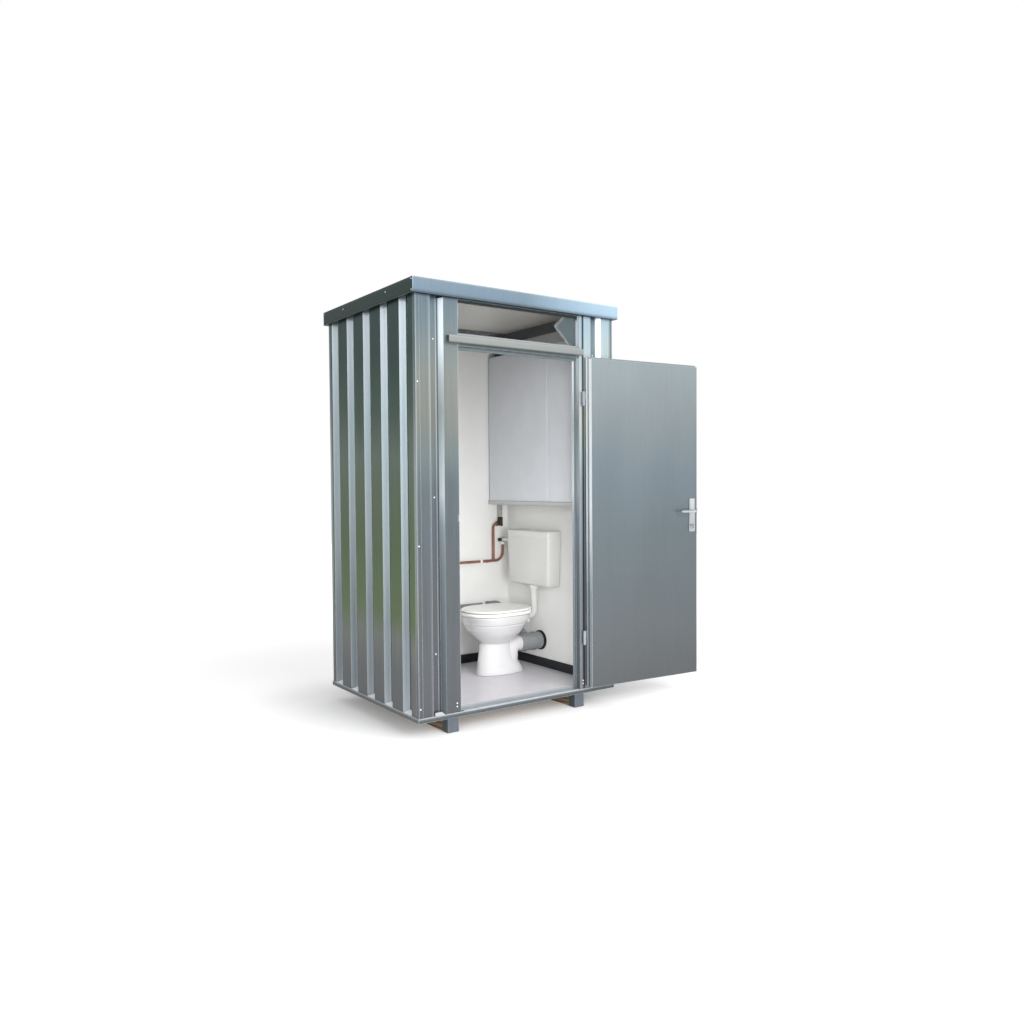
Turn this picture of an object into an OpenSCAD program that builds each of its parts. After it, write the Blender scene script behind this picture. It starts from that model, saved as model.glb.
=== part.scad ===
// Sanitary container: a one-toilet site cabin of trapezoid steel sheet on two
// timber runners, with an outward opening steel door, drawn at its photographed
// rest pose. Millimetres, X along the front, Y to the back, Z up from the ground.

/* [Cabin] */
// Width over the ribs of the two side sheets
body_w = 1365; // [1300:5:1500]
// Depth from the front sheet to the back sheet
body_d = 1110; // [1080:5:1250]
// Height of the timber runners
runner_h = 95; // [80:1:120]
// Width of a runner over its end caps
runner_w = 70; // [60:1:90]
// Distance from the side sheets to the outer face of a runner
runner_inset = 200; // [150:5:250]
// Height of the base frame ring
frame_h = 25; // [25:1:40]
// How far the base frame stands proud of the sheets
frame_proud = 6; // [2:1:12]
// Thickness of the wall sheets
sheet_t = 1; // [0.8:0.1:1.5]
// Depth of the grooves in the wall sheets
rib_depth = 35; // [30:1:40]
// Width of a groove at its mouth
rib_open = 96; // [80:1:110]
// Run of a sloping groove side
rib_run = 14; // [8:1:24]
// Thickness of the inner wall boards
lining_t = 10; // [8:1:15]
// Height of the fascia
fascia_h = 80; // [70:1:100]
// How far the fascia stands out from the walls
fascia_out = 25; // [18:1:35]
// Thickness of the folded frame and fascia sheet
fold_t = 1.5; // [1:0.1:2]

/* [Doorway] */
// Width between the rebate faces of the door frame
opening_w = 843; // [800:1:900]
// Height of the inner body of the leaf
leaf_h = 1972; // [1900:1:2000]
// Thickness of the leaf
leaf_t = 40; // [38:1:45]
// Overlap of the outer leaf skin past the inner body
overlap = 13; // [11:0.5:16]
// Gap between the leaf and the rebate
leaf_gap = 4.5; // [4:0.1:6]
// Angle at which the door stands in the rest pose
door_open = 175.4; // [150:0.1:178]
// Height of a hinge
hinge_h = 84; // [70:1:100]
// Diameter of a hinge pin
hinge_pin_d = 10; // [8:0.5:12]
// Height of the window above the doorway
window_h = 187; // [150:1:260]
// Height of the drip rail
rail_h = 39; // [30:1:50]
// How far the drip rail stands out
rail_out = 25; // [18:1:30]
// Height of the lever above the ground
lever_z = 1178; // [1100:1:1250]
// Length of a lever from its pivot
lever_len = 120; // [100:1:135]
// Distance from the lever down to the thumb turn
turn_drop = 95; // [85:1:105]

/* [Toilet] */
// Length of the bowl rim
bowl_len = 450; // [430:1:470]
// Width of the bowl rim
bowl_w = 356; // [340:1:380]
// Height of the bowl rim above the floor
bowl_h = 392; // [380:1:410]
// Distance from the cabin centre plane to the bowl axis
bowl_y = 121; // [95:1:140]
// Width of the cistern
cistern_w = 470; // [430:1:500]
// Height of the cistern with its lid
cistern_h = 369; // [330:1:390]
// Depth of the cistern
cistern_d = 115; // [108:1:125]
// Height of the cistern underside above the floor
cistern_z = 558; // [540:1:590]

/* [Water] */
// Depth of the raised water tank from the wall
tank_d = 161; // [140:1:180]
// Space between the tank and the ceiling
tank_gap = 180; // [160:1:250]
// Height of the tank underside above the floor
tank_z = 1122; // [1100:1:1200]
// Outer diameter of the copper pipe
pipe_d = 18; // [12:1:22]
// Height of the copper main above the floor
main_z = 700; // [660:1:720]
// Outer diameter of the waste pipe
waste_d = 110; // [100:1:120]
// Outer diameter of the small drain pipe
drain_d = 32; // [28:1:40]
// Width of the hand basin
basin_w = 400; // [340:5:450]
// Distance from the back wall to the front of the basin
basin_d = 265; // [240:5:300]
// Height of the basin rim above the floor
basin_h = 850; // [800:5:880]
// Height of the bottle trap
trap_h = 90; // [70:1:100]
// Distance from the back wall to the basin's waste
trap_y = 145; // [130:1:160]

/* [Small parts] */
// Radius of a rivet head
rivet_r = 5; // [3:0.5:6]
// Diameter of a bolt in the base ring
bolt_d = 10; // [8:1:12]
// Height of a skirting strip
skirting_h = 60; // [40:1:80]
// Thickness of a skirting strip
skirting_t = 8; // [6:1:12]

/* [Fits] */
// Radial clearance of turning parts
fit_turn = 0.05; // [0.03:0.01:0.1]
// Seam between two welded or butted lengths
seam = 0.1; // [0.05:0.05:0.2]
// Clearance on each side of a sliding part
fit_slide = 0.1; // [0.08:0.01:0.3]

/* [View] */
// Sub-part to show

/* [Hidden] */
$fn = 48;
half_w = body_w / 2;
half_d = body_d / 2;
front_y = -half_d;
frame_top = runner_h + frame_h;
frame_x = half_w + frame_proud;
frame_y = half_d + frame_proud;
wall_t = rib_depth + sheet_t + lining_t;
in_x = half_w - wall_t;
in_y = half_d - wall_t;
floor_z = frame_top;
open_x = opening_w / 2;
leaf_x = open_x - leaf_gap;
leaf_z0 = floor_z + 11;
leaf_z1 = leaf_z0 + leaf_h;
skin_x = leaf_x + overlap;
skin_z1 = leaf_z1 + overlap;
leaf_out_y = front_y - 15;
leaf_in_y = leaf_out_y + leaf_t;
lip_y = front_y - 1;
head_z = leaf_z1 + 4;
rail_z0 = skin_z1 + 2;
rail_z1 = rail_z0 + rail_h;
sill_z = rail_z1 + 11;
wall_top = sill_z + window_h;
fascia_z = wall_top + 5;
total_h = fascia_z + fascia_h;
roof_under = total_h - 2 * fold_t - 17;
stop_y = leaf_in_y + 4;
stop_x = open_x - 15;
jamb_x = open_x + 90.5;
groove_x = jamb_x + 82;
lap_y = front_y + rib_depth + sheet_t - fold_t;
hinge_x = leaf_x + 31.3;
hinge_y = front_y - 12;
hinge_zs = [leaf_z0 + 258, leaf_z1 - 278];
hinge_r = 10;
tie_w = 50;
tie_t = 4;
handle_x = -leaf_x + 44;
turn_z = lever_z - turn_drop;
plate_t = 6;
latch_out = 12;
bolt_out = 14;
lock_t = 18;
lock_y = (lip_y + leaf_in_y) / 2;
lock_z0 = turn_z - 50;
lock_z1 = lever_z + 40;
rim_z = floor_z + bowl_h;
bowl_x0 = in_x - 600.5;
bowl_x1 = bowl_x0 + bowl_len;
waste_z = floor_z + 178;
flush_z = rim_z - 36;
seat_z0 = rim_z + 2;
seat_t = 20;
lid_z0 = seat_z0 + seat_t + 4;
lid_t = 16;
pivot_x = bowl_x1 - 12;
pivot_z = rim_z + 12;
cist_x = in_x - cistern_d;
cist_z0 = floor_z + cistern_z;
cist_z1 = cist_z0 + cistern_h;
flush_x = in_x - 57;
main_y = in_y - 22;
main_zz = floor_z + main_z;
pipe_r = pipe_d / 2;
rise_x = in_x - 58;
valve_z = floor_z + tank_z - 162;
boss_a = [bowl_x1 + 26, bowl_y + 14, waste_z + 47];
elbow_p = [boss_a[0] + 23, in_y - drain_d / 2 - 7, floor_z + 396];
tank_x = in_x - tank_d;
tank_z0 = floor_z + tank_z;
tank_h = roof_under - tank_gap - tank_z0;
tank_y0 = -in_y + 12;
tank_y1 = in_y - 4;
outlet_x = in_x - 78;
tee_x = outlet_x - 58.5;
filler_y = in_y - 77;
shelf_t = 6;
drain_y = elbow_p[1];
drain_z = elbow_p[2];
basin_x = 316.5 - in_x;
basin_z = floor_z + basin_h;
side_n = 5;
side_lead = 130;
side_pitch = (body_d - side_lead - 90) / (side_n - 1);
back_n = 6;
back_pitch = body_w / back_n;

// Folded sheet: a path thickened to its left with mitred corners.
function unit2(v) = v / norm(v);
function left_of(v) = [-v[1], v[0]];
function dir_in(p, i) = unit2(i > 0 ? p[i] - p[i - 1] : p[1] - p[0]);
function dir_out(p, i) = unit2(i < len(p) - 1 ? p[i + 1] - p[i] : p[i] - p[i - 1]);
function mitred(p, i, t) =
    p[i] + (left_of(dir_in(p, i)) + left_of(dir_out(p, i))) * (t / (1 + dir_in(p, i) * dir_out(p, i)));
function folded(p, t) = concat(p, [for (i = [len(p) - 1 : -1 : 0]) mitred(p, i, t)]);

// Trapezoid sheet outline, u along the wall and w into it.
function groove(c, o, d) = [[c - o / 2, 0], [c - o / 2 + rib_run, d], [c + o / 2 - rib_run, d], [c + o / 2, 0]];
function ribbed(u0, u1, cs, d) =
    concat([[u0, 0]], [for (c = cs) for (q = groove(c, rib_open, d)) q], [[u1, 0]]);

// Egg outline for the bowl, seat and lid: round in front, squarer behind.
function sgn(a) = a < 0 ? -1 : 1;
function egg(x0, x1, b, yc, n = 48) =
    [for (i = [0 : n - 1])
        let (a = 360 * (i + 0.5) / n, c = cos(a), s = sin(a), xm = x0 + 0.42 * (x1 - x0), k = c < 0 ? 1 : 0.66)
        [xm + (c < 0 ? xm - x0 : x1 - xm) * sgn(c) * pow(abs(c), k), yc + b * sgn(s) * pow(abs(s), k)]];

function oval(x0, x1, b, yc, n = 48) =
    [for (i = [0 : n - 1])
        [(x0 + x1) / 2 + (x1 - x0) / 2 * cos(360 * (i + 0.5) / n), yc + b * sin(360 * (i + 0.5) / n)]];

module box(x0, x1, y0, y1, z0, z1) {
    translate([x0, y0, z0])
        cube([x1 - x0, y1 - y0, z1 - z0]);
}

module slab(points, z0, z1) {
    translate([0, 0, z0])
        linear_extrude(z1 - z0)
            polygon(points);
}

module fold_up(p, t, z0, z1) {
    slab(folded(p, t), z0, z1);
}

// Polygon in the y-z plane, drawn along x.
module along_x(points, x0, x1) {
    translate([x0, 0, 0])
        rotate([90, 0, 90])
            linear_extrude(x1 - x0)
                polygon(points);
}

// Polygon in the x-z plane, drawn along y.
module along_y(points, y0, y1) {
    translate([0, y1, 0])
        rotate([90, 0, 0])
            linear_extrude(y1 - y0)
                polygon(points);
}

module rod_x(r, x0, x1, y, z) {
    translate([x0, y, z])
        rotate([0, 90, 0])
            cylinder(r = r, h = x1 - x0);
}

module rod_y(r, x, y0, y1, z) {
    translate([x, y1, z])
        rotate([90, 0, 0])
            cylinder(r = r, h = y1 - y0);
}

module rod_z(r, x, y, z0, z1) {
    translate([x, y, z0])
        cylinder(r = r, h = z1 - z0);
}

// Straight round bar from point a, h long, towards point b.
module rod_to(r, a, b, from, h) {
    d = b - a;
    translate(a)
        rotate([0, acos(d[2] / norm(d)), atan2(d[1], d[0])])
            translate([0, 0, from])
                cylinder(r = r, h = h);
}

module both_sides() {
    children();
    mirror([1, 0, 0])
        children();
}

module ring(x1, y1, x0, y0, z0, z1) {
    difference() {
        box(-x1, x1, -y1, y1, z0, z1);
        box(-x0, x0, -y0, y0, z0 - 1, z1 + 1);
    }
}

module rounded(x0, x1, y0, y1, r) {
    translate([x0 + r, y0])
        square([x1 - x0 - 2 * r, y1 - y0]);
    translate([x0, y0 + r])
        square([x1 - x0, y1 - y0 - 2 * r]);
    for (x = [x0 + r, x1 - r]) {
        for (y = [y0 + r, y1 - r]) {
            translate([x, y])
                circle(r);
        }
    }
}

// Turns a closed leaf about the hinge line to its rest pose.
module on_door() {
    translate([hinge_x, hinge_y, 0])
        rotate([0, 0, door_open])
            translate([-hinge_x, -hinge_y, 0])
                children();
}

// Base.
module runner_block(x0, x1, z1) {
    box(x0, x1, -half_d + 43, half_d - 43, 0, z1);
}

module runners() {
    color([0.45, 0.36, 0.27])
        both_sides()
            difference() {
                runner_block(-half_w + runner_inset + 3, -half_w + runner_inset + runner_w - 3, runner_h);
                for (y = [-half_d + 90, half_d - 90]) {
                    rod_z(bolt_d / 2, -half_w + runner_inset + runner_w / 2, y, runner_h - 60, runner_h + 1);
                }
                box(-half_w, 0, -tie_w / 2, tie_w / 2, -1, tie_t);
            }
}

module runner_irons() {
    xa = -half_w + runner_inset;
    xb = xa + runner_w;
    ya = -half_d + 40;
    leg = 61;
    color([0.62, 0.65, 0.67])
        both_sides()
            for (k = [1, -1]) {
                scale([1, k, 1])
                    fold_up([[xa, ya + leg], [xa, ya], [xb, ya], [xb, ya + leg]], 3, 0, runner_h);
            }
    color([0.62, 0.65, 0.67])
        box(xa, -xa, -tie_w / 2, tie_w / 2, 0, tie_t);
}

module frame_bolts() {
    color([0.6, 0.62, 0.63])
        both_sides()
            for (y = [-half_d + 90, half_d - 90]) {
                rod_z(bolt_d / 2, -half_w + runner_inset + runner_w / 2, y, runner_h - 60, runner_h + 2.5);
                translate([-half_w + runner_inset + runner_w / 2, y, runner_h + 2.5])
                    cylinder(r = bolt_d * 0.98, h = bolt_d * 0.65, $fn = 6);
            }
}

module base_frame() {
    color([0.66, 0.7, 0.73])
        difference() {
            union() {
                ring(frame_x, frame_y, frame_x - 2.5, frame_y - 2.5, runner_h, frame_top);
                ring(frame_x, frame_y, in_x, in_y, frame_top - 2.5, frame_top);
                ring(frame_x, frame_y, in_x - 70, half_d - 130, runner_h, runner_h + 2.5);
                for (y = [-150, 150]) {
                    box(-in_x + 60, in_x - 60, y - 30, y + 30, runner_h, runner_h + 2.5);
                }
            }
            both_sides()
                for (y = [-half_d + 90, half_d - 90]) {
                    rod_z(bolt_d / 2, -half_w + runner_inset + runner_w / 2, y, runner_h - 1, runner_h + 4);
                }
        }
}

module floor_board() {
    color([0.6, 0.48, 0.33])
        difference() {
            box(-in_x + 1, in_x - 1, -in_y + 1, in_y - 1, runner_h + 2.5, floor_z - 2);
            both_sides()
                for (y = [-half_d + 90, half_d - 90]) {
                    rod_z(bolt_d * 1.4, -half_w + runner_inset + runner_w / 2, y, runner_h + 1, runner_h + 2.5 + bolt_d * 0.65 + 2);
                }
        }
}

module floor_covering() {
    color([0.78, 0.78, 0.8])
        box(-in_x + 0.5, in_x - 0.5, -in_y + 0.5, in_y - 0.5, floor_z - 2, floor_z);
}

module threshold() {
    color([0.7, 0.72, 0.73])
        along_x([[front_y - 4, floor_z], [-in_y, floor_z], [-in_y, floor_z + 18], [-in_y - 3, floor_z + 18],
            [-in_y - 3, floor_z + 4], [front_y - 4, floor_z + 4]], -stop_x + 0.5, stop_x - 0.5);
}

// Walls.
function side_centres() = [for (i = [0 : side_n - 1]) front_y + side_lead + i * side_pitch];
function back_centres() = [for (i = [0 : back_n - 1]) -half_w + (i + 0.5) * back_pitch];

module side_sheet(s) {
    pts = folded(ribbed(-half_d + sheet_t, half_d - sheet_t, side_centres(), rib_depth), sheet_t);
    slab([for (q = pts) [s * (half_w - q[1]), q[0]]], floor_z, roof_under);
}

module side_sheets() {
    color([0.6, 0.65, 0.68]) {
        side_sheet(-1);
        difference() {
            side_sheet(1);
            wall_hole(1);
        }
    }
}

// Hole for the waste pipe, which leaves through the right wall.
module wall_hole(extra) {
    rod_x(waste_d / 2 + extra, in_x - 30, half_w + 30, bowl_y, waste_z);
}

module back_sheet() {
    pts = folded(ribbed(-half_w, half_w, back_centres(), rib_depth), sheet_t);
    color([0.6, 0.65, 0.68])
        slab([for (q = pts) [q[0], half_d - q[1]]], floor_z, roof_under);
}

module front_sheets() {
    color([0.62, 0.68, 0.72])
        both_sides()
            fold_up([[-half_w, front_y], [-groove_x, front_y], [-groove_x + rib_run, lap_y - sheet_t],
                [-groove_x + rib_run + 38.5, lap_y - sheet_t]], sheet_t, floor_z, roof_under);
}

module corner_trims() {
    xo = half_w + 1.2;
    color([0.66, 0.71, 0.75])
        both_sides()
            for (k = [1, -1]) {
                scale([1, k, 1])
                    fold_up([[-xo, -half_d + 25], [-xo, -half_d - 1.2], [-xo + 26, -half_d - 1.2]],
                        1.2, floor_z, fascia_z);
            }
}

module jamb_fold() {
    fold_up([[-groove_x + rib_run + 5, lap_y], [-jamb_x - rib_run, lap_y], [-jamb_x, front_y],
        [-open_x, front_y], [-open_x, stop_y], [-stop_x, stop_y], [-stop_x, -in_y + fold_t],
        [-stop_x - 34, -in_y + fold_t]], fold_t, floor_z, wall_top);
}

// Two jambs, the head box between them and the lintel on top, butted face to face.
module door_frame() {
    y_in = -in_y + fold_t;
    head = [[y_in, sill_z], [front_y, sill_z], [front_y, head_z], [stop_y, head_z],
        [stop_y, head_z - 15], [y_in, head_z - 15], [y_in, sill_z - fold_t - 0.1]];
    lintel = [[lap_y - 1, roof_under], [lap_y - 1, wall_top + seam], [front_y, wall_top + seam],
        [front_y, roof_under]];
    color([0.63, 0.68, 0.72]) {
        difference() {
            jamb_fold();
            box(-open_x - 9, -open_x + 1, front_y - 1, lock_y + 8, lever_z - 17, lever_z + 17);
            box(-open_x - 9, -open_x + 1, lock_y - 6, lock_y + 6, turn_z - 15, turn_z + 15);
        }
        mirror([1, 0, 0])
            jamb_fold();
        difference() {
            along_x(folded(head, fold_t), -open_x + seam, open_x - seam);
            both_sides()
                box(-open_x - 1, -stop_x + seam, stop_y - seam, in_y, head_z - 30, sill_z + 30);
        }
        along_x(folded(lintel, -fold_t), -jamb_x, jamb_x);
    }
}

module door_seal() {
    d = 3.7;
    color([0.1, 0.1, 0.1]) {
        both_sides()
            box(-open_x + 3, -open_x + 11, stop_y - d, stop_y, floor_z + 5, head_z - 12 - seam);
        box(-open_x + 3, open_x - 3, stop_y - d, stop_y, head_z - 12, head_z - 3);
    }
}

module keep_plate() {
    color([0.72, 0.73, 0.74])
        difference() {
            box(-open_x, -open_x + 1.5, front_y + 3, stop_y - 4, lock_z0 - 8, lock_z1 + 8);
            box(-open_x - 9, -open_x + 9, front_y - 1, lock_y + 8, lever_z - 17, lever_z + 17);
            box(-open_x - 9, -open_x + 9, lock_y - 6, lock_y + 6, turn_z - 15, turn_z + 15);
        }
}

module drip_rail() {
    yo = front_y - rail_out;
    color([0.72, 0.73, 0.74])
        along_x(folded([[front_y - 2, rail_z1 + 9], [front_y - 2, rail_z1 + 5], [yo, rail_z1],
            [yo, rail_z0]], 2), -open_x - 69, open_x + 17);
}

module transom_pane() {
    color([0.8, 0.86, 0.88, 0.5])
        box(-open_x + 2, open_x - 2, stop_y - 4, stop_y, sill_z, wall_top - 3);
}

module transom_bead() {
    color([0.7, 0.74, 0.77])
        difference() {
            box(-open_x, open_x, stop_y - 14, stop_y - 4, sill_z, wall_top - 1.5);
            box(-open_x + 10, open_x - 10, stop_y - 20, stop_y, sill_z + 10, wall_top - 11.5);
        }
}

module roof_frame() {
    color([0.13, 0.14, 0.15])
        ring(in_x + lining_t, in_y + lining_t, in_x - 20, in_y - 20, wall_top, roof_under);
}

module roof_board() {
    color([0.8, 0.8, 0.78])
        box(-half_w, half_w, -half_d, half_d, roof_under, roof_under + 17);
}

module roof_sheet() {
    x = half_w + fascia_out - fold_t;
    y = half_d + fascia_out - fold_t;
    color([0.68, 0.72, 0.75])
        box(-x, x, -y, y, roof_under + 17, roof_under + 17 + fold_t);
}

module fascia_profile(y_wall, s) {
    y_out = y_wall - fascia_out;
    pts = folded([[y_out + 40, total_h], [y_out, total_h], [y_out, fascia_z], [y_wall - 1.7, fascia_z]], fold_t);
    along_x(pts, -s, s);
}

// The front length folds round both corners over the side lengths.
module fascia() {
    xo = half_w + fascia_out;
    color([0.62, 0.69, 0.75]) {
        union() {
            fascia_profile(front_y, xo);
            both_sides() {
                box(-xo - fold_t, -xo, front_y - fascia_out, front_y, fascia_z, total_h);
                box(-xo - fold_t, -xo + 1, front_y - fascia_out, front_y - fascia_out + fold_t, fascia_z, total_h);
            }
        }
        scale([1, -1, 1])
            fascia_profile(front_y, xo);
        both_sides()
            difference() {
                rotate([0, 0, -90])
                    fascia_profile(-half_w, half_d + fascia_out - fold_t / 2);
                box(-xo - 9, xo + 9, -half_d - fascia_out - 9, -half_d - fascia_out + 40 - fold_t / 2, total_h - 9, total_h + 9);
                box(-xo - 9, xo + 9, half_d + fascia_out - 40 + fold_t / 2, half_d + fascia_out + 9, total_h - 9, total_h + 9);
                box(-xo + fold_t, xo, -half_d - fascia_out - 9, -half_d, fascia_z - 9, fascia_z + 9);
                box(-xo + fold_t, xo, half_d, half_d + fascia_out + 9, fascia_z - 9, fascia_z + 9);
            }
    }
}

// Inside of the room.
module wall_boards() {
    color([0.85, 0.85, 0.84]) {
        difference() {
            both_sides()
                box(-in_x - lining_t, -in_x, -in_y - lining_t, in_y + lining_t, floor_z, wall_top);
            wall_hole(1);
        }
        box(-in_x, in_x, in_y, in_y + lining_t, floor_z, wall_top);
        both_sides()
            box(-in_x, -stop_x - 3, -in_y - lining_t, -in_y, floor_z, wall_top);
    }
}

module skirtings() {
    h = skirting_h;
    t = skirting_t;
    color([0.15, 0.16, 0.17]) {
        both_sides() {
            box(-in_x, -in_x + t, -in_y, in_y - t, floor_z, floor_z + h);
            box(-in_x + t, -stop_x - 36, -in_y, -in_y + t, floor_z, floor_z + h);
        }
        box(-in_x, in_x, in_y - t, in_y, floor_z, floor_z + h);
    }
}

// Domed head on a face at p, pointing out along the turned z axis.
module rivet(p, rot) {
    translate(p)
        rotate(rot)
            translate([0, 0, -0.6 * rivet_r])
                difference() {
                    sphere(r = rivet_r, $fn = 24);
                    translate([-2 * rivet_r, -2 * rivet_r, -3.4 * rivet_r])
                        cube(4 * rivet_r);
                }
}

module rivets() {
    seam_x = groove_x - rib_run - 23;
    color([0.72, 0.76, 0.79])
        both_sides() {
            for (i = [0 : 2]) {
                rivet([-half_w + 10, front_y - 1.2, floor_z + 50 + i * (leaf_h - 240) / 2], [90, 0, 0]);
                rivet([-seam_x, lap_y - sheet_t, floor_z + 327 + i * (leaf_h - 282) / 2], [90, 0, 0]);
            }
            for (z = [32, 50]) {
                rivet([-open_x - 24, front_y, floor_z + z], [90, 0, 0]);
            }
            for (z = [12, fascia_h - 12]) {
                rivet([-half_w - fascia_out - fold_t, front_y - 12, fascia_z + z], [0, -90, 0]);
            }
            for (y = [8 - half_d / 2, 8 + half_d / 2]) {
                rivet([-half_w - fascia_out, y, fascia_z + fascia_h * 2 / 3], [0, -90, 0]);
            }
        }
}

// Hinges.
module knuckle(z0, z1, bore) {
    difference() {
        rod_z(hinge_r, hinge_x, hinge_y, z0, z1);
        rod_z(bore, hinge_x, hinge_y, z0 - 1, z1 + 1);
    }
}

module hinge_frame_leaves() {
    color([0.66, 0.69, 0.71])
        for (z = hinge_zs) {
            knuckle(z, z + hinge_h / 2, hinge_pin_d / 2);
            difference() {
                box(hinge_x - 2, hinge_x + 44, front_y - 3, front_y, z, z + hinge_h / 2);
                rod_z(hinge_r - 2, hinge_x, hinge_y, z - 1, z + hinge_h);
            }
        }
}

module hinge_pins() {
    color([0.75, 0.75, 0.75])
        for (z = hinge_zs) {
            rod_z(hinge_pin_d / 2, hinge_x, hinge_y, z, z + hinge_h - 1);
        }
}

module hinge_door_leaves() {
    color([0.66, 0.69, 0.71])
        on_door()
            for (z = hinge_zs) {
                difference() {
                    union() {
                        rod_z(hinge_r, hinge_x, hinge_y, z + hinge_h / 2 + 0.3, z + hinge_h);
                        box(skin_x - 45, hinge_x, leaf_out_y - 3, leaf_out_y, z + hinge_h / 2 + 0.3, z + hinge_h);
                    }
                    rod_z(hinge_pin_d / 2 + fit_turn, hinge_x, hinge_y, z, z + hinge_h + 1);
                }
            }
}

// Door leaf.
module door_bores(r) {
    rod_y(r, handle_x, leaf_out_y - 20, leaf_in_y + 20, lever_z);
    rod_y(r * 0.7, handle_x, leaf_out_y - 20, leaf_in_y + 20, turn_z);
}

module door_outer() {
    lip = [[-leaf_x + 7, lip_y], [-skin_x, lip_y], [-skin_x, leaf_out_y], [skin_x, leaf_out_y],
        [skin_x, lip_y], [leaf_x - 7, lip_y]];
    color([0.62, 0.68, 0.72])
        on_door()
            difference() {
                union() {
                    fold_up(lip, 1, leaf_z0, skin_z1);
                    box(-skin_x, skin_x, leaf_out_y, lip_y, skin_z1 - 1, skin_z1);
                    box(-skin_x, skin_x, lip_y - 1, lip_y, leaf_z1 - 7, skin_z1);
                    box(-skin_x, skin_x, leaf_out_y, lip_y, leaf_z0, leaf_z0 + 1);
                }
                door_bores(10);
            }
}

// Inner frame of the leaf: two stiles and five rails.
module door_core() {
    rail_gap = (leaf_h - 40) / 4;
    color([0.85, 0.78, 0.6])
        on_door()
            difference() {
                box(-leaf_x + 1, leaf_x - 1, leaf_out_y + 1, leaf_in_y - 1, leaf_z0 + 1, leaf_z1 - 1);
                box(-leaf_x, -leaf_x + 7.5, leaf_out_y, lip_y, leaf_z0, leaf_z1);
                box(leaf_x - 7.5, leaf_x, leaf_out_y, lip_y, leaf_z0, leaf_z1);
                box(-leaf_x, leaf_x, leaf_out_y, lip_y, leaf_z1 - 7.5, leaf_z1);
                for (i = [0 : 3]) {
                    box(-leaf_x + 100, leaf_x - 40, leaf_out_y, leaf_in_y, leaf_z0 + 40 + i * rail_gap,
                        leaf_z0 + i * rail_gap + rail_gap);
                }
                box(-leaf_x, -leaf_x + 82, lock_y - lock_t / 2, lock_y + lock_t / 2, lock_z0, lock_z1);
                door_bores(12);
            }
}

module door_inner() {
    tray = [[-leaf_x, lip_y], [-leaf_x, leaf_in_y], [leaf_x, leaf_in_y], [leaf_x, lip_y]];
    color([0.64, 0.69, 0.73])
        on_door()
            difference() {
                union() {
                    fold_up(tray, -1, leaf_z0, leaf_z1);
                    box(-leaf_x, leaf_x, lip_y, leaf_in_y, leaf_z1 - 1, leaf_z1);
                    box(-leaf_x, leaf_x, lip_y, leaf_in_y, leaf_z0, leaf_z0 + 1);
                }
                box(-leaf_x - 1, -leaf_x + 2, lock_y - lock_t / 2, lock_y + lock_t / 2, lock_z0, lock_z1);
                door_bores(10);
            }
}

module lock_case() {
    xa = -leaf_x;
    color([0.7, 0.71, 0.72])
        on_door()
            difference() {
                union() {
                    box(xa, xa + 82, lock_y - lock_t / 2, lock_y + lock_t / 2, lock_z0, lock_z1);
                    box(xa - 1.5, xa, lock_y - 10, lock_y + 10, lock_z0 - 10, lock_z1 + 10);
                }
                box(xa - 2, xa + 33, lock_y - 6 - fit_slide, lock_y + 6 + fit_slide,
                    lever_z - 14 - fit_slide, lever_z + 14 + fit_slide);
                box(xa - 2, xa + 30, lock_y - 5 - fit_slide, lock_y + 5 + fit_slide,
                    turn_z - 12 - fit_slide, turn_z + 12 + fit_slide);
                rod_y(10 + fit_turn, handle_x, lock_y - lock_t, lock_y + lock_t, lever_z);
                rod_y(4 + fit_turn, handle_x, lock_y - lock_t, lock_y + lock_t, turn_z);
            }
}

module door_plates() {
    color([0.72, 0.73, 0.74])
        on_door()
            for (y = [leaf_out_y - plate_t, leaf_in_y]) {
                difference() {
                    translate([0, y + plate_t, 0])
                        rotate([90, 0, 0])
                            linear_extrude(plate_t)
                                rounded(handle_x - 23.5, handle_x + 23.5, turn_z - 37, lever_z + 82, 8);
                    rod_y(8 + fit_turn, handle_x, y - 1, y + plate_t + 1, lever_z);
                    rod_y(4 + fit_turn, handle_x, y - 1, y + plate_t + 1, turn_z);
                }
            }
}

module spindle() {
    color([0.6, 0.6, 0.6])
        on_door() {
            box(handle_x - 4, handle_x + 4, leaf_out_y - 25, leaf_in_y + 25, lever_z - 4, lever_z + 4);
            rod_y(10, handle_x, lock_y - lock_t / 2 + 1, lock_y + lock_t / 2 - 1, lever_z);
        }
}

// Lever on the side whose outward direction is s.
module lever(y_face, s) {
    y0 = min(y_face + s * 0.5, y_face + s * 45);
    y1 = max(y_face + s * 0.5, y_face + s * 45);
    ya = y_face + s * 45;
    difference() {
        union() {
            rod_y(8, handle_x, y0, y1, lever_z);
            translate([handle_x, ya, lever_z])
                sphere(r = 8);
            rod_x(8, handle_x, handle_x + lever_len - 8, ya, lever_z);
            translate([handle_x + lever_len - 8, ya, lever_z])
                sphere(r = 8);
            rod_y(8, handle_x + lever_len - 8, min(ya, ya - s * 24), max(ya, ya - s * 24), lever_z);
        }
        box(handle_x - 4, handle_x + 4, leaf_out_y - 25, leaf_in_y + 25, lever_z - 4, lever_z + 4);
    }
}

module levers() {
    color([0.72, 0.73, 0.74])
        on_door() {
            lever(leaf_in_y, 1);
            lever(leaf_out_y, -1);
        }
}

module latch_bolt() {
    xa = -leaf_x;
    color([0.78, 0.78, 0.76])
        on_door()
            slab([[xa - latch_out, lock_y + 6], [xa - latch_out, lock_y + 1], [xa - 1, lock_y - 6],
                [xa + 18, lock_y - 6], [xa + 18, lock_y + 6]], lever_z - 14, lever_z + 14);
}

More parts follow.
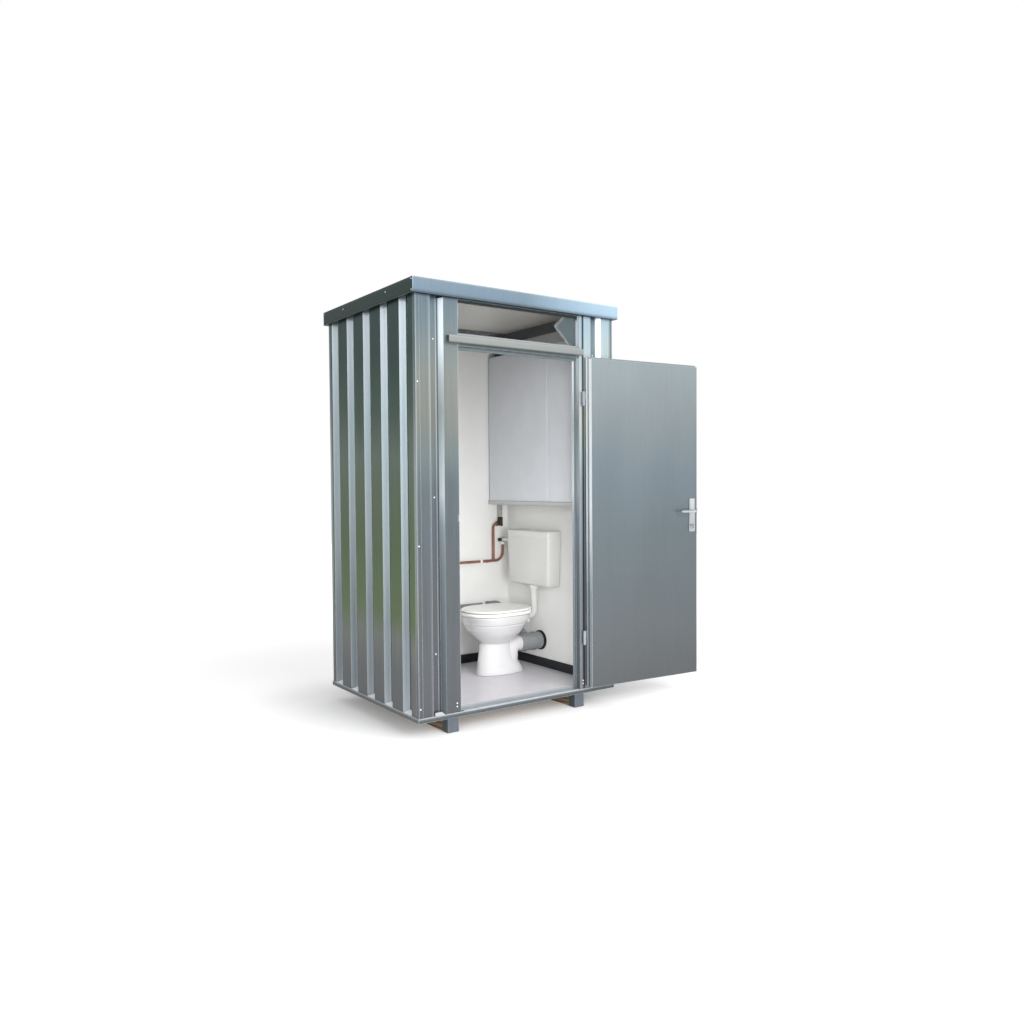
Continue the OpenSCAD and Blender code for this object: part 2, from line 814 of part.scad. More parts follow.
module thumb_turn() {
    y_in = leaf_in_y + plate_t;
    y_out = leaf_out_y - plate_t;
    color([0.72, 0.73, 0.74])
        on_door() {
            rod_y(4, handle_x, y_out - 1, y_in + 1, turn_z);
            rod_y(11, handle_x, y_in + 0.4, y_in + 7, turn_z);
            box(handle_x - 3, handle_x + 3, y_in + 6, y_in + 20, turn_z - 13, turn_z + 13);
            difference() {
                rod_y(9, handle_x, y_out - 4, y_out - 0.4, turn_z);
                box(handle_x - 1, handle_x + 1, y_out - 5, y_out - 2.5, turn_z - 10, turn_z + 10);
            }
        }
}

module dead_bolt() {
    color([0.78, 0.78, 0.76])
        on_door()
            box(-leaf_x - 1.5, -leaf_x + 12, lock_y - 5, lock_y + 5, turn_z - 12, turn_z + 12);
}

// Toilet.
module toilet_bowl() {
    y = bowl_y;
    x0 = bowl_x0;
    x1 = bowl_x1;
    b = bowl_w / 2;
    zf = floor_z + 22;
    color([0.92, 0.92, 0.9])
        difference() {
            union() {
                slab(egg(x0, x1, b, y), rim_z - 38, rim_z);
                hull() {
                    slab(oval(x0 + 12, x1 - 6, b * 0.98, y), rim_z - 39, rim_z - 38);
                    slab(oval(x0 + 28, x1 - 25, b * 0.87, y), rim_z - 93, rim_z - 92);
                }
                hull() {
                    slab(oval(x0 + 28, x1 - 25, b * 0.87, y), rim_z - 93, rim_z - 92);
                    slab(oval(x0 + 67, x1 - 59, b * 0.71, y), rim_z - 139, rim_z - 138);
                }
                hull() {
                    slab(oval(x0 + 67, x1 - 59, b * 0.71, y), rim_z - 139, rim_z - 138);
                    slab(oval(x0 + 118, x1 - 130, b * 0.4, y), rim_z - 187, rim_z - 186);
                }
                hull() {
                    slab(oval(x0 + 110, x1 - 76, b * 0.4, y), rim_z - 178, rim_z - 177);
                    slab(oval(x0 + 87, x1 - 12, b * 0.53, y), zf, zf + 1);
                }
                slab(oval(x0 + 85, x1 - 8, b * 0.53, y), floor_z, zf);
                rod_x(51, x1 - 106, x1 + 5, y, waste_z);
            }
            hull() {
                slab(egg(x0 + 34, x1 - 110, b - 34, y), rim_z, rim_z + 1);
                slab(egg(x0 + 30, x1 - 106, b - 30, y), rim_z - 34, rim_z - 33);
            }
            hull() {
                slab(egg(x0 + 30, x1 - 106, b - 30, y), rim_z - 34, rim_z - 33);
                slab(egg(x0 + 124, x1 - 140, b * 0.28, y), rim_z - 178, rim_z - 177);
            }
            slab(oval(x0 + 114, x1 - 56, b * 0.34, y), floor_z - 1, floor_z + 90);
            rod_x(43, x1 - 186, x1 + 10, y, waste_z);
            rod_x(22, x1 - 40, x1 + 10, y, flush_z);
            for (k = [-1, 1]) {
                rod_z(4 + fit_turn, pivot_x, y + k * 78, rim_z - 39, rim_z + 1);
            }
        }
}

// Posts with the hinge pins, held by a nut under the china.
module seat_hinges() {
    color([0.9, 0.9, 0.89])
        for (k = [-1, 1]) {
            rod_z(4, pivot_x, bowl_y + k * 78, rim_z - 66, rim_z + 6);
            rod_z(9, pivot_x, bowl_y + k * 78, rim_z - 58, rim_z - 38);
            rod_z(8, pivot_x, bowl_y + k * 78, rim_z, pivot_z);
            rod_y(8, pivot_x, bowl_y + k * 78 - 8, bowl_y + k * 78 + 8, pivot_z);
            rod_y(4.5, pivot_x, bowl_y + k * 78 - 26, bowl_y + k * 78 + 26, pivot_z);
        }
}

// Eye around the pin at the k side, between y offsets a and b, with its web.
module ear(k, a, b, xa, xb, z1) {
    y0 = bowl_y + min(k * a, k * b);
    y1 = bowl_y + max(k * a, k * b);
    rod_y(9, pivot_x, y0, y1, pivot_z);
    box(xa, xb, y0, y1, pivot_z - 4, z1);
}

module pin_bores() {
    for (k = [-1, 1]) {
        rod_y(4.5 + fit_turn, pivot_x, bowl_y + k * 78 - 27, bowl_y + k * 78 + 27, pivot_z);
    }
}

module toilet_seat() {
    rear = pivot_x - 18;
    color([0.93, 0.93, 0.92])
        difference() {
            union() {
                intersection() {
                    difference() {
                        slab(egg(bowl_x0 - 8, bowl_x1 + 12, bowl_w / 2 + 2, bowl_y), seat_z0, seat_z0 + seat_t);
                        slab(egg(bowl_x0 + 54, bowl_x1 - 150, bowl_w / 2 - 62, bowl_y), seat_z0 - 1, lid_z0);
                    }
                    box(bowl_x0 - 20, rear, bowl_y - 300, bowl_y + 300, seat_z0 - 1, lid_z0);
                }
                for (k = [-1, 1]) {
                    ear(k, 53, 69.6, rear - 10, pivot_x, seat_z0 + seat_t);
                    rod_z(8, bowl_x0 + 60, bowl_y + k * 108, rim_z, seat_z0);
                    rod_z(8, bowl_x1 - 90, bowl_y + k * 145, rim_z, seat_z0);
                }
            }
            pin_bores();
        }
}

module toilet_lid() {
    color([0.93, 0.93, 0.92])
        difference() {
            union() {
                intersection() {
                    slab(egg(bowl_x0 - 8, bowl_x1 + 12, bowl_w / 2 + 2, bowl_y), lid_z0, lid_z0 + lid_t);
                    box(bowl_x0 - 20, pivot_x + 21, bowl_y - 300, bowl_y + 300, lid_z0 - 1, lid_z0 + lid_t + 1);
                }
                for (k = [-1, 1]) {
                    ear(k, 86.4, 103, pivot_x - 6, pivot_x + 6, lid_z0);
                    rod_z(7, bowl_x0 + 50, bowl_y + k * 105, seat_z0 + seat_t, lid_z0);
                    rod_z(7, bowl_x1 - 90, bowl_y + k * 140, seat_z0 + seat_t, lid_z0);
                }
            }
            pin_bores();
        }
}

// Outline of the cistern, narrower by i at its ends, inset by w for its wall.
module cistern_plan(i, w, z0, z1) {
    hw = cistern_w / 2 - i - w;
    translate([0, 0, z0])
        linear_extrude(z1 - z0)
            rounded(cist_x + 0.62 * i + w, in_x - w, bowl_y - hw, bowl_y + hw, 16);
}

module cistern_body() {
    z_lid = cist_z1 - 45;
    color([0.93, 0.93, 0.92])
        difference() {
            hull() {
                cistern_plan(17, 0, cist_z0, cist_z0 + 10);
                cistern_plan(1.5, 0, z_lid - 1, z_lid);
            }
            hull() {
                cistern_plan(17, 4, cist_z0 + 5, cist_z0 + 11);
                cistern_plan(1.5, 4, z_lid, z_lid + 1);
            }
            rod_z(26, flush_x, bowl_y, cist_z0 - 1, cist_z0 + 6);
            rod_y(6, rise_x, bowl_y + cistern_w / 2 - 30, bowl_y + cistern_w / 2 + 9, cist_z1 - 81);
        }
}

module cistern_lid() {
    z_lid = cist_z1 - 45;
    color([0.94, 0.94, 0.93])
        difference() {
            cistern_plan(0, 0, z_lid, cist_z1);
            cistern_plan(0, 6, z_lid - 1, cist_z1 - 5);
            rod_z(19 + fit_turn, flush_x, bowl_y, z_lid - 1, cist_z1 + 1);
        }
}

module flush_button() {
    color([0.75, 0.76, 0.77]) {
        rod_z(19, flush_x, bowl_y, cist_z1 - 14, cist_z1 + 2);
        rod_z(4, flush_x, bowl_y, cist_z1 - 40, cist_z1 - 13);
    }
}

module flush_valve() {
    color([0.85, 0.4, 0.3])
        difference() {
            union() {
                rod_z(30, flush_x, bowl_y, cist_z0 + 5, cist_z0 + 12);
                rod_z(24, flush_x, bowl_y, cist_z0 + 10, cist_z0 + 200);
            }
            rod_z(19, flush_x, bowl_y, cist_z0 + 1, cist_z0 + 190);
        }
}

module bend(r, rb, a) {
    rotate_extrude(angle = a)
        translate([rb, 0])
            circle(r);
}

module flush_pipe() {
    rb = 42;
    color([0.9, 0.9, 0.88])
        difference() {
            union() {
                rod_z(22, flush_x, bowl_y, flush_z + rb, cist_z0);
                rod_z(33, flush_x, bowl_y, cist_z0 - 28, cist_z0);
                translate([flush_x - rb, bowl_y, flush_z + rb])
                    rotate([-90, 0, 0])
                        bend(22, rb, 90);
                rod_x(22, bowl_x1 - 22, flush_x - rb, bowl_y, flush_z);
            }
            rod_z(20, flush_x, bowl_y, flush_z + rb, cist_z0 + 1);
            translate([flush_x - rb, bowl_y, flush_z + rb])
                rotate([-90, 0, 0])
                    bend(20, rb, 90);
            rod_x(20, bowl_x1 - 30, flush_x - rb, bowl_y, flush_z);
        }
}

// Connector with two beads and a branch for the drain, and the pipe through the wall.
module waste_pipe() {
    xs = bowl_x1 - 33;
    color([0.5, 0.51, 0.52])
        difference() {
            union() {
                rod_x(58, xs, in_x - 17, bowl_y, waste_z);
                for (x = [xs + 33, in_x - 70]) {
                    rod_x(61.5, x, x + 8, bowl_y, waste_z);
                }
                rod_x(waste_d / 2 - 1.5, xs + 20, half_w + 1, bowl_y, waste_z);
                rod_x(waste_d / 2, half_w, half_w + 60, bowl_y, waste_z);
                rod_to(drain_d / 2 + 5, boss_a, elbow_p, 0, 52);
            }
            rod_x(51, xs - 1, half_w + 61, bowl_y, waste_z);
            rod_to(drain_d / 2, boss_a, elbow_p, 26, 27);
            rod_to(drain_d / 2 - 3, boss_a, elbow_p, -10, 40);
        }
}

module waste_collar() {
    color([0.08, 0.08, 0.08])
        difference() {
            rod_x(waste_d / 2 + 11, in_x - 15, in_x, bowl_y, waste_z);
            rod_x(waste_d / 2 - 1.5, in_x - 16, in_x + 1, bowl_y, waste_z);
        }
}

// Along the back wall to an elbow with a socket, then down to the branch.
module drain_pipe() {
    xa = basin_x + 60;
    r = drain_d / 2;
    run = norm(elbow_p - boss_a);
    color([0.5, 0.51, 0.52])
        difference() {
            union() {
                rod_x(r, xa, elbow_p[0], drain_y, drain_z);
                rod_x(r + 5, elbow_p[0] - 91, elbow_p[0], drain_y, drain_z);
                translate(elbow_p)
                    sphere(r = r + 6);
                rod_to(r, boss_a, elbow_p, 26, run - 26);
                rod_to(r + 5, boss_a, elbow_p, run - 62, 62);
                for (x = [elbow_p[0] - 335, elbow_p[0] - 147]) {
                    box(x - 5, x + 5, drain_y, in_y, drain_z - 6, drain_z + 6);
                }
            }
            rod_x(r - 2, xa - 1, elbow_p[0], drain_y, drain_z);
            translate(elbow_p)
                sphere(r = r);
            rod_to(r - 2, boss_a, elbow_p, 25, run - 25);
        }
}

// Water.
module tank_shape(i, z0, z1) {
    translate([0, 0, z0])
        linear_extrude(z1 - z0)
            rounded(tank_x + i, in_x - i, tank_y0 + i, tank_y1 - i, 16 - i);
}

module tank_body() {
    top = tank_z0 + tank_h;
    color([0.8, 0.8, 0.79])
        difference() {
            union() {
                tank_shape(0, tank_z0, top);
                rod_z(50, outlet_x, filler_y, top - 1, top + 30);
                rod_z(13, outlet_x, main_y, tank_z0 - shelf_t - 10, tank_z0 + 1);
            }
            tank_shape(5, tank_z0 + 5, top - 5);
            rod_z(44, outlet_x, filler_y, top - 6, top + 31);
            rod_z(9, outlet_x, main_y, tank_z0 - shelf_t - 11, tank_z0 + 6);
        }
}

module tank_cap() {
    top = tank_z0 + tank_h;
    color([0.1, 0.1, 0.1])
        difference() {
            rod_z(60, outlet_x, filler_y, top + 6, top + 62);
            rod_z(50 + fit_turn, outlet_x, filler_y, top + 5, top + 30);
        }
}

module tank_shelf() {
    color([0.62, 0.64, 0.66])
        difference() {
            union() {
                box(tank_x - 4, in_x, -in_y + 8, in_y - 1, tank_z0 - shelf_t, tank_z0);
                box(tank_x - 4, tank_x, -in_y + 8, in_y - 1, tank_z0 - 24, tank_z0);
                box(in_x - 4, in_x, -in_y + 8, in_y - 1, tank_z0 - 34, tank_z0);
            }
            rod_z(13.5, outlet_x, main_y, tank_z0 - shelf_t - 1, tank_z0 + 1);
        }
}

// Main, riser to the tank valve and branch to the cistern, brazed into one,
// drawn at radius r. The ends run over by e.
module copper_run(r, e) {
    ra = 60;
    rb = 30;
    rod_x(r, basin_x + 12 - e, rise_x - ra, main_y, main_zz);
    translate([rise_x - ra, main_y, main_zz + ra])
        rotate([90, 0, 0])
            rotate([0, 0, -90])
                bend(r, ra, 90);
    rod_z(r, rise_x, main_y, main_zz + ra, cist_z1 - 101 + e);
    rod_z(r, tee_x, main_y, main_zz, valve_z - rb);
    translate([tee_x + rb, main_y, valve_z - rb])
        rotate([90, 0, 0])
            rotate([0, 0, 90])
                bend(r, rb, 90);
    rod_x(r, tee_x + rb, tee_x + rb + 10 + e, main_y, valve_z);
}

module copper_pipes() {
    color([0.72, 0.42, 0.27])
        difference() {
            union() {
                copper_run(pipe_r, 0);
                rod_x(pipe_r + 1.5, tee_x - 66, tee_x - 45, main_y, main_zz);
            }
            copper_run(pipe_r - 1, 1);
        }
}

// Hexagon nut with its corners at radius r.
module nut(r, x, y, z0, z1) {
    translate([x, y, z0])
        cylinder(r = r, h = z1 - z0, $fn = 6);
}

module brass_fittings() {
    zc = cist_z1 - 81;
    cy = bowl_y + cistern_w / 2;
    color([0.7, 0.6, 0.4]) {
        difference() {
            union() {
                nut(pipe_r + 6, rise_x, main_y, zc - 34, zc - 16);
                rod_z(13, rise_x, main_y, zc - 16, zc + 19);
                rod_y(9, rise_x, cy + 3, main_y, zc);
                rod_y(6, rise_x, cy - 20, cy + 4, zc);
            }
            rod_z(pipe_r, rise_x, main_y, zc - 35, zc - 20);
            rod_y(4, rise_x, cy - 21, main_y - 20, zc);
        }
        difference() {
            union() {
                translate([tee_x + 25, main_y, valve_z])
                    rotate([0, 90, 0])
                        cylinder(r = pipe_r + 8, h = 20, $fn = 6);
                rod_x(12, tee_x + 30, outlet_x, main_y, valve_z);
                rod_z(19, outlet_x, main_y, valve_z - 14, valve_z + 48);
                rod_z(15, outlet_x, main_y, valve_z + 47, tank_z0 - 26);
                for (z = [valve_z + 62 : 13 : tank_z0 - 50]) {
                    rod_z(17, outlet_x, main_y, z, z + 5);
                }
            }
            rod_x(pipe_r, tee_x + 24, tee_x + 40, main_y, valve_z);
            rod_x(pipe_r - 2, tee_x + 39, outlet_x, main_y, valve_z);
            rod_z(8, outlet_x, main_y, valve_z, tank_z0);
        }
        difference() {
            nut(22, outlet_x, main_y, tank_z0 - 26, tank_z0 - shelf_t);
            rod_z(13, outlet_x, main_y, tank_z0 - 16, tank_z0);
            rod_z(8, outlet_x, main_y, tank_z0 - 27, tank_z0);
        }
        difference() {
            union() {
                rod_z(pipe_r + 3, basin_x, main_y, main_zz - pipe_r - 3, main_zz + 30);
                rod_x(pipe_r + 2, basin_x, basin_x + 28, main_y, main_zz);
            }
            rod_x(pipe_r, basin_x + 12, basin_x + 29, main_y, main_zz);
            rod_z(6, basin_x, main_y, main_zz + 18, main_zz + 31);
        }
    }
}

// Hangs down in front of the valve when the valve is open.
module tank_valve_lever() {
    y1 = main_y - 19.3;
    zp = valve_z + 38;
    color([0.15, 0.15, 0.16]) {
        rod_y(8, outlet_x, y1 - 5, y1, zp);
        box(outlet_x - 6.5, outlet_x + 6.5, y1 - 5, y1, zp - 56, zp);
    }
}

module cistern_valve_knob() {
    zc = cist_z1 - 81;
    color([0.12, 0.12, 0.13])
        rod_x(12, rise_x - 36, rise_x - 13.3, main_y, zc);
}

// Hand basin.
module basin_plan(i, y0, y1, z0, z1, r) {
    translate([0, 0, z0])
        linear_extrude(z1 - z0)
            rounded(basin_x - basin_w / 2 + i, basin_x + basin_w / 2 - i, y0, y1, r);
}

module hand_basin() {
    yf = in_y - basin_d;
    color([0.92, 0.92, 0.9])
        difference() {
            union() {
                basin_plan(0, yf, in_y, basin_z - 36, basin_z, 45);
                hull() {
                    basin_plan(4, yf + 4, in_y, basin_z - 37, basin_z - 36, 40);
                    basin_plan(110, yf + 60, in_y - 60, basin_z - 120, basin_z - 119, 40);
                }
            }
            hull() {
                basin_plan(28, yf + 26, in_y - 74, basin_z, basin_z + 1, 50);
                basin_plan(128, yf + 80, in_y - 104, basin_z - 105, basin_z - 104, 30);
            }
            rod_z(16 + fit_slide, basin_x, in_y - trap_y, basin_z - 130, basin_z - 100);
            rod_z(6.2, basin_x, main_y, basin_z - 130, basin_z + 1);
        }
}

module basin_tap() {
    color([0.8, 0.81, 0.82]) {
        rod_z(6, basin_x, main_y, main_zz + 18, basin_z + 1);
        rod_z(18, basin_x, main_y, basin_z, basin_z + 82);
        rod_y(9, basin_x, main_y - 120, main_y, basin_z + 66);
        rod_z(9, basin_x, main_y - 120, basin_z + 46, basin_z + 66);
        translate([basin_x, main_y - 120, basin_z + 66])
            sphere(r = 9);
    }
}

module tap_lever() {
    color([0.8, 0.81, 0.82]) {
        rod_z(17, basin_x, main_y, basin_z + 82, basin_z + 98);
        box(basin_x - 6, basin_x + 6, main_y - 78, main_y - 8, basin_z + 90, basin_z + 97);
    }
}

module basin_trap() {
    y = in_y - trap_y;
    color([0.88, 0.88, 0.87]) {
        rod_z(16, basin_x, y, basin_z - 200, basin_z - 104);
        rod_z(34, basin_x, y, basin_z - 200 - trap_h, basin_z - 200);
        rod_y(16, basin_x, y, drain_y, basin_z - 220);
        translate([basin_x, drain_y, basin_z - 220])
            sphere(r = 16);
        rod_z(16, basin_x, drain_y, drain_z, basin_z - 220);
        translate([basin_x, drain_y, drain_z])
            sphere(r = 16);
        rod_x(drain_d / 2 - 2, basin_x, basin_x + 100, drain_y, drain_z);
    }
}

runners();
runner_irons();
frame_bolts();
base_frame();
floor_board();
floor_covering();
threshold();
side_sheets();
back_sheet();
front_sheets();
corner_trims();
door_frame();
door_seal();
keep_plate();
drip_rail();
transom_pane();
transom_bead();
roof_frame();
roof_board();
roof_sheet();
fascia();
wall_boards();
skirtings();
rivets();
hinge_frame_leaves();
hinge_pins();
hinge_door_leaves();
door_outer();
door_core();
door_inner();
lock_case();
door_plates();
spindle();
levers();
latch_bolt();
thumb_turn();
dead_bolt();
toilet_bowl();
seat_hinges();
toilet_seat();
toilet_lid();
cistern_body();
cistern_lid();
flush_button();
flush_valve();
flush_pipe();
waste_pipe();
waste_collar();
drain_pipe();
tank_body();
tank_cap();
tank_shelf();
copper_pipes();
brass_fittings();
tank_valve_lever();
cistern_valve_knob();
hand_basin();
basin_tap();
tap_lever();
basin_trap();
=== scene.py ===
# %% [markdown]
# # Dressing the sanitary container
# The cabin arrives as a finished frame: sixty pieces of true shape and size, in
# metres, X along the front, Y to the back and Z up from the ground. This lesson
# gives each of them its finish and adds the soft curves of the china, the bends
# of the pipes and the small heads of the screws. Nothing here moves a piece.

# %% Load the frame
import math

import bmesh
import bpy
import numpy as np
from mathutils import Matrix, Vector


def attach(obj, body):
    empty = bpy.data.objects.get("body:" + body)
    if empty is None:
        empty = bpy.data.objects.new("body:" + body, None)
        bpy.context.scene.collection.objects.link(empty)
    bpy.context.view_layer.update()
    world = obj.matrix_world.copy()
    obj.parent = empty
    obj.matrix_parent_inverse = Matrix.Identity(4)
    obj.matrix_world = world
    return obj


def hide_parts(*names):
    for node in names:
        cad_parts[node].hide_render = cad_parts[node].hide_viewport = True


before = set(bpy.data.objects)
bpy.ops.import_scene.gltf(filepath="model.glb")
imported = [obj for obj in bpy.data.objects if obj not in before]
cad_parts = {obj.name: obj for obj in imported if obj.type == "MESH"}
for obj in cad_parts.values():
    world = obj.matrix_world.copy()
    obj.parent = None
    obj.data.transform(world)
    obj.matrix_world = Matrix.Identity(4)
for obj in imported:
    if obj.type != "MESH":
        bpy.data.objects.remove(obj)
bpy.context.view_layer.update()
scene = bpy.context.scene

# %% [markdown]
# ## Camera
# The cabin is seen from its left front corner, a little above the floor of the
# doorway, with an ordinary lens. A camera is easiest to set from three unit
# vectors: where it looks, what is right and what is up. Tilting the right and up
# vectors about the line of sight gives the slight roll of a hand-held picture.

# %% Camera
EYE = Vector((-2.8525, -4.498, 1.366))
YAW, PITCH, ROLL = math.radians(35.187), math.radians(-1.852), math.radians(-0.408)
FOCAL_PIXELS = 853.2
IMAGE = 1024
SHIFT_PIXELS = -1.37


def look_matrix(yaw, pitch, roll):
    """Columns are right, up and back; forward is yaw from +Y towards +X, then pitch."""
    forward = Vector((math.sin(yaw) * math.cos(pitch), math.cos(yaw) * math.cos(pitch), math.sin(pitch)))
    level = Vector((math.cos(yaw), -math.sin(yaw), 0))
    above = level.cross(forward)
    right = level * math.cos(roll) + above * math.sin(roll)
    up = above * math.cos(roll) - level * math.sin(roll)
    return Matrix((right, up, -forward)).transposed().to_4x4()


camera = bpy.data.objects.new("camera", bpy.data.cameras.new("camera"))
camera.data.sensor_width = 36
camera.data.lens = 36 * FOCAL_PIXELS / IMAGE
camera.data.shift_y = SHIFT_PIXELS / IMAGE
camera.matrix_world = Matrix.Translation(EYE) @ look_matrix(YAW, PITCH, ROLL)
scene.collection.objects.link(camera)
scene.camera = camera
scene.view_settings.view_transform = "Standard"
print("lens", round(camera.data.lens, 2), "mm")

# %% [markdown]
# ## Building shader trees in code
# Every finish below is a small tree of shader nodes. One helper adds a node and
# joins its inputs, so a tree reads from top to bottom like a recipe. An input is
# given as a plain value or as another node's output.

# %% Shader helpers
def add(tree, kind, ins=None, **settings):
    """Adds one shader node; ins maps a socket's name or number to a value or an output."""
    made = tree.nodes.new("ShaderNode" + kind)
    for key, value in settings.items():
        setattr(made, key, value)
    for key, value in (ins or {}).items():
        if isinstance(value, bpy.types.NodeSocket):
            tree.links.new(value, made.inputs[key])
        else:
            made.inputs[key].default_value = value
    return made


def rgb(r, g, b):
    """A screen colour of 0 to 255 as linear light with alpha 1."""
    values = np.array([r, g, b]) / 255
    linear = np.where(values <= 0.04045, values / 12.92, ((values + 0.055) / 1.055) ** 2.4)
    return (*linear.tolist(), 1.0)


def group(name, inputs, outputs):
    """A shader node group with named sockets, and its two ends."""
    tree = bpy.data.node_groups.new(name, "ShaderNodeTree")
    for label, kind, value in inputs:
        socket = tree.interface.new_socket(label, in_out="INPUT", socket_type="NodeSocket" + kind)
        if value is not None:
            socket.default_value = value
    for label, kind in outputs:
        tree.interface.new_socket(label, in_out="OUTPUT", socket_type="NodeSocket" + kind)
    return tree, tree.nodes.new("NodeGroupInput").outputs, tree.nodes.new("NodeGroupOutput").inputs


def use(tree, shared, **ins):
    """Places a shared group in a material with its own values."""
    made = add(tree, "Group", node_tree=shared)
    for key, value in ins.items():
        socket = made.inputs[key.replace("_", " ")]
        if isinstance(value, bpy.types.NodeSocket):
            tree.links.new(value, socket)
        else:
            socket.default_value = value
    return made.outputs


def ramp(tree, factor, stops):
    """A colour ramp with (position, colour) stops."""
    made = add(tree, "ValToRGB", {0: factor})
    bar = made.color_ramp
    while len(bar.elements) < len(stops):
        bar.elements.new(0.5)
    for element, (at, colour) in zip(bar.elements, stops):
        element.position = at
        element.color = colour
    return made.outputs[0]


def calc(tree, operation, a, b=0.0):
    """One step of arithmetic."""
    return add(tree, "Math", {0: a, 1: b}, operation=operation).outputs[0]


def times(tree, a, b):
    """The product of two values."""
    return calc(tree, "MULTIPLY", a, b)


def blend(tree, factor, a, b):
    """Mixes two colours."""
    return add(tree, "Mix", {0: factor, 6: a, 7: b}, data_type="RGBA").outputs[2]


def span(tree, value, low, high):
    """Brings low to 0 and high to 1, softly, and stays there."""
    made = add(tree, "MapRange", {0: value, 1: low, 2: high}, interpolation_type="SMOOTHSTEP")
    return made.outputs[0]


def between(tree, mask, low, high):
    """A factor that is low where the mask is 0 and high where it is 1."""
    return add(tree, "MapRange", {0: mask, 3: low, 4: high}).outputs[0]


def seen_rays(tree):
    """1 for rays from the camera, from mirrors and through glass, else 0."""
    path = add(tree, "LightPath").outputs
    return calc(
        tree, "MAXIMUM", path["Is Camera Ray"],
        calc(tree, "MAXIMUM", path["Is Glossy Ray"], path["Is Transmission Ray"])
    )


def stretched(tree, ends, long_way):
    """A group's place divided by its size, and drawn out along z."""
    size = calc(tree, "DIVIDE", 1.0, ends["Size"])
    sized = add(tree, "VectorMath", {0: ends["Place"], 3: size}, operation="SCALE").outputs[0]
    scale = add(tree, "CombineXYZ", {0: 1.0, 1: 1.0, 2: ends[long_way]}).outputs[0]
    return add(tree, "VectorMath", {0: sized, 1: scale}, operation="MULTIPLY").outputs[0]


def material(name, **constants):
    """A new material with one Principled shader; constants are set on its own sockets."""
    made = bpy.data.materials.new(name)
    made.use_nodes = True
    tree = made.node_tree
    shader = tree.nodes["Principled BSDF"]
    for key, value in constants.items():
        shader.inputs[key.replace("_", " ")].default_value = value
    place = add(tree, "TexCoord").outputs
    return made, tree, shader, place["Object"]


# %% [markdown]
# ## Effects that several finishes share
# Hot dip zinc freezes into flat crystals, a few millimetres wide, each with its
# own grey. A Voronoi cell colour is just that. Painted shade darkens the sheet
# low down in ragged patches, a painted highlight with a little wear lies bright
# along the folds, and rolled or cast faces are never quite flat.
# Each effect is one group that puts out a mask or a height, and never a shader.

# %% Zinc crystals
spangle, gin, gout = group(
    "zinc crystals",
    [("Place", "Vector", None), ("Size", "Float", 0.009), ("Stretch", "Float", 1.0)],
    [("Tone", "Float"), ("Height", "Float")],
)
drawn = stretched(spangle, gin, "Stretch")
warp = add(spangle, "TexNoise", {"Vector": drawn, "Scale": 1.3, "Detail": 2.0}).outputs["Color"]
bowed = add(spangle, "VectorMath", {0: drawn, 1: warp}, operation="ADD").outputs[0]
coarse = add(spangle, "TexVoronoi", {"Vector": bowed, "Scale": 1.0})
fine = add(spangle, "TexVoronoi", {"Vector": bowed, "Scale": 2.7})
both = calc(
    spangle, "ADD", times(spangle, coarse.outputs["Color"], 0.6),
    times(spangle, fine.outputs["Color"], 0.4)
)
spangle.links.new(both, gout["Tone"])
spangle.links.new(fine.outputs["Distance"], gout["Height"])
print("zinc crystals", len(spangle.nodes), "nodes")

# %% Soft cloud, painted low shade and painted fold highlights
cloud, gin, gout = group(
    "soft cloud",
    [("Place", "Vector", None), ("Size", "Float", 0.4), ("Long", "Float", 1.0), ("Detail", "Float", 3.0)],
    [("Mask", "Float")],
)
noise = add(
    cloud, "TexNoise",
    {"Vector": stretched(cloud, gin, "Long"), "Scale": 1.0, "Detail": gin["Detail"], "Roughness": 0.55}
)
cloud.links.new(span(cloud, noise.outputs[0], 0.3, 0.7), gout["Mask"])

# painted shade: darker low down, in ragged patches
shading, gin, gout = group(
    "dust below",
    [("Place", "Vector", None), ("Low", "Float", 0.1), ("High", "Float", 0.6)],
    [("Mask", "Float")],
)
up = add(shading, "SeparateXYZ", {0: gin["Place"]}).outputs[2]
rag = add(
    shading, "TexNoise", {"Vector": gin["Place"], "Scale": 14.0, "Detail": 5.0, "Roughness": 0.6}
).outputs[0]
height = add(
    shading, "MapRange", {0: up, 1: gin["High"], 2: gin["Low"]}, interpolation_type="SMOOTHSTEP"
).outputs[0]
shading.links.new(times(shading, height, span(shading, rag, 0.3, 0.75)), gout["Mask"])

# painted highlight along folds and bevelled edges, with a little wear: a mask where the bevel normal turns
# away from the true normal
rubbed_and_lit, gin, gout = group("worn folds", [("Width", "Float", 0.003)], [("Mask", "Float")])
round_normal = add(rubbed_and_lit, "Bevel", {"Radius": gin["Width"]}, samples=6)
true_normal = add(rubbed_and_lit, "NewGeometry").outputs["True Normal"]
agree = add(
    rubbed_and_lit, "VectorMath", {0: round_normal.outputs[0], 1: true_normal}, operation="DOT_PRODUCT"
).outputs["Value"]
rubbed_and_lit.links.new(span(rubbed_and_lit, agree, 0.97, 0.72), gout["Mask"])
print("groups", [g.name for g in bpy.data.node_groups])

# %% [markdown]
# ## Galvanised sheet
# The sheet is the cabin. In the open it mirrors whatever stands around it, so a
# face turned to the side is a dark green grey and one turned to the front a pale
# blue grey, and both change slowly from top to bottom. A studio has nothing to
# mirror, so that painted reflection is put into the zinc's own colour, by the way
# a face points and by its height. Painted highlights and painted shade in bands by
# place, painted shade under the eaves and on undersides, and painted highlights
# along the folds come on top, and crystals and clouds lie over them.

# %% Sheet finish
TOP = 2.44
BRIGHTEST = 4.0
FRONT_REACH, SIDE_REACH = 0.72, 0.6
SHEET_METAL = 0.7
CRYSTAL_SIZE, CRYSTAL_GAIN = 0.007, 0.05
ROLLING_WIDTH = 0.012
GROOVES = [-0.425 + i * 0.2225 for i in range(5)]


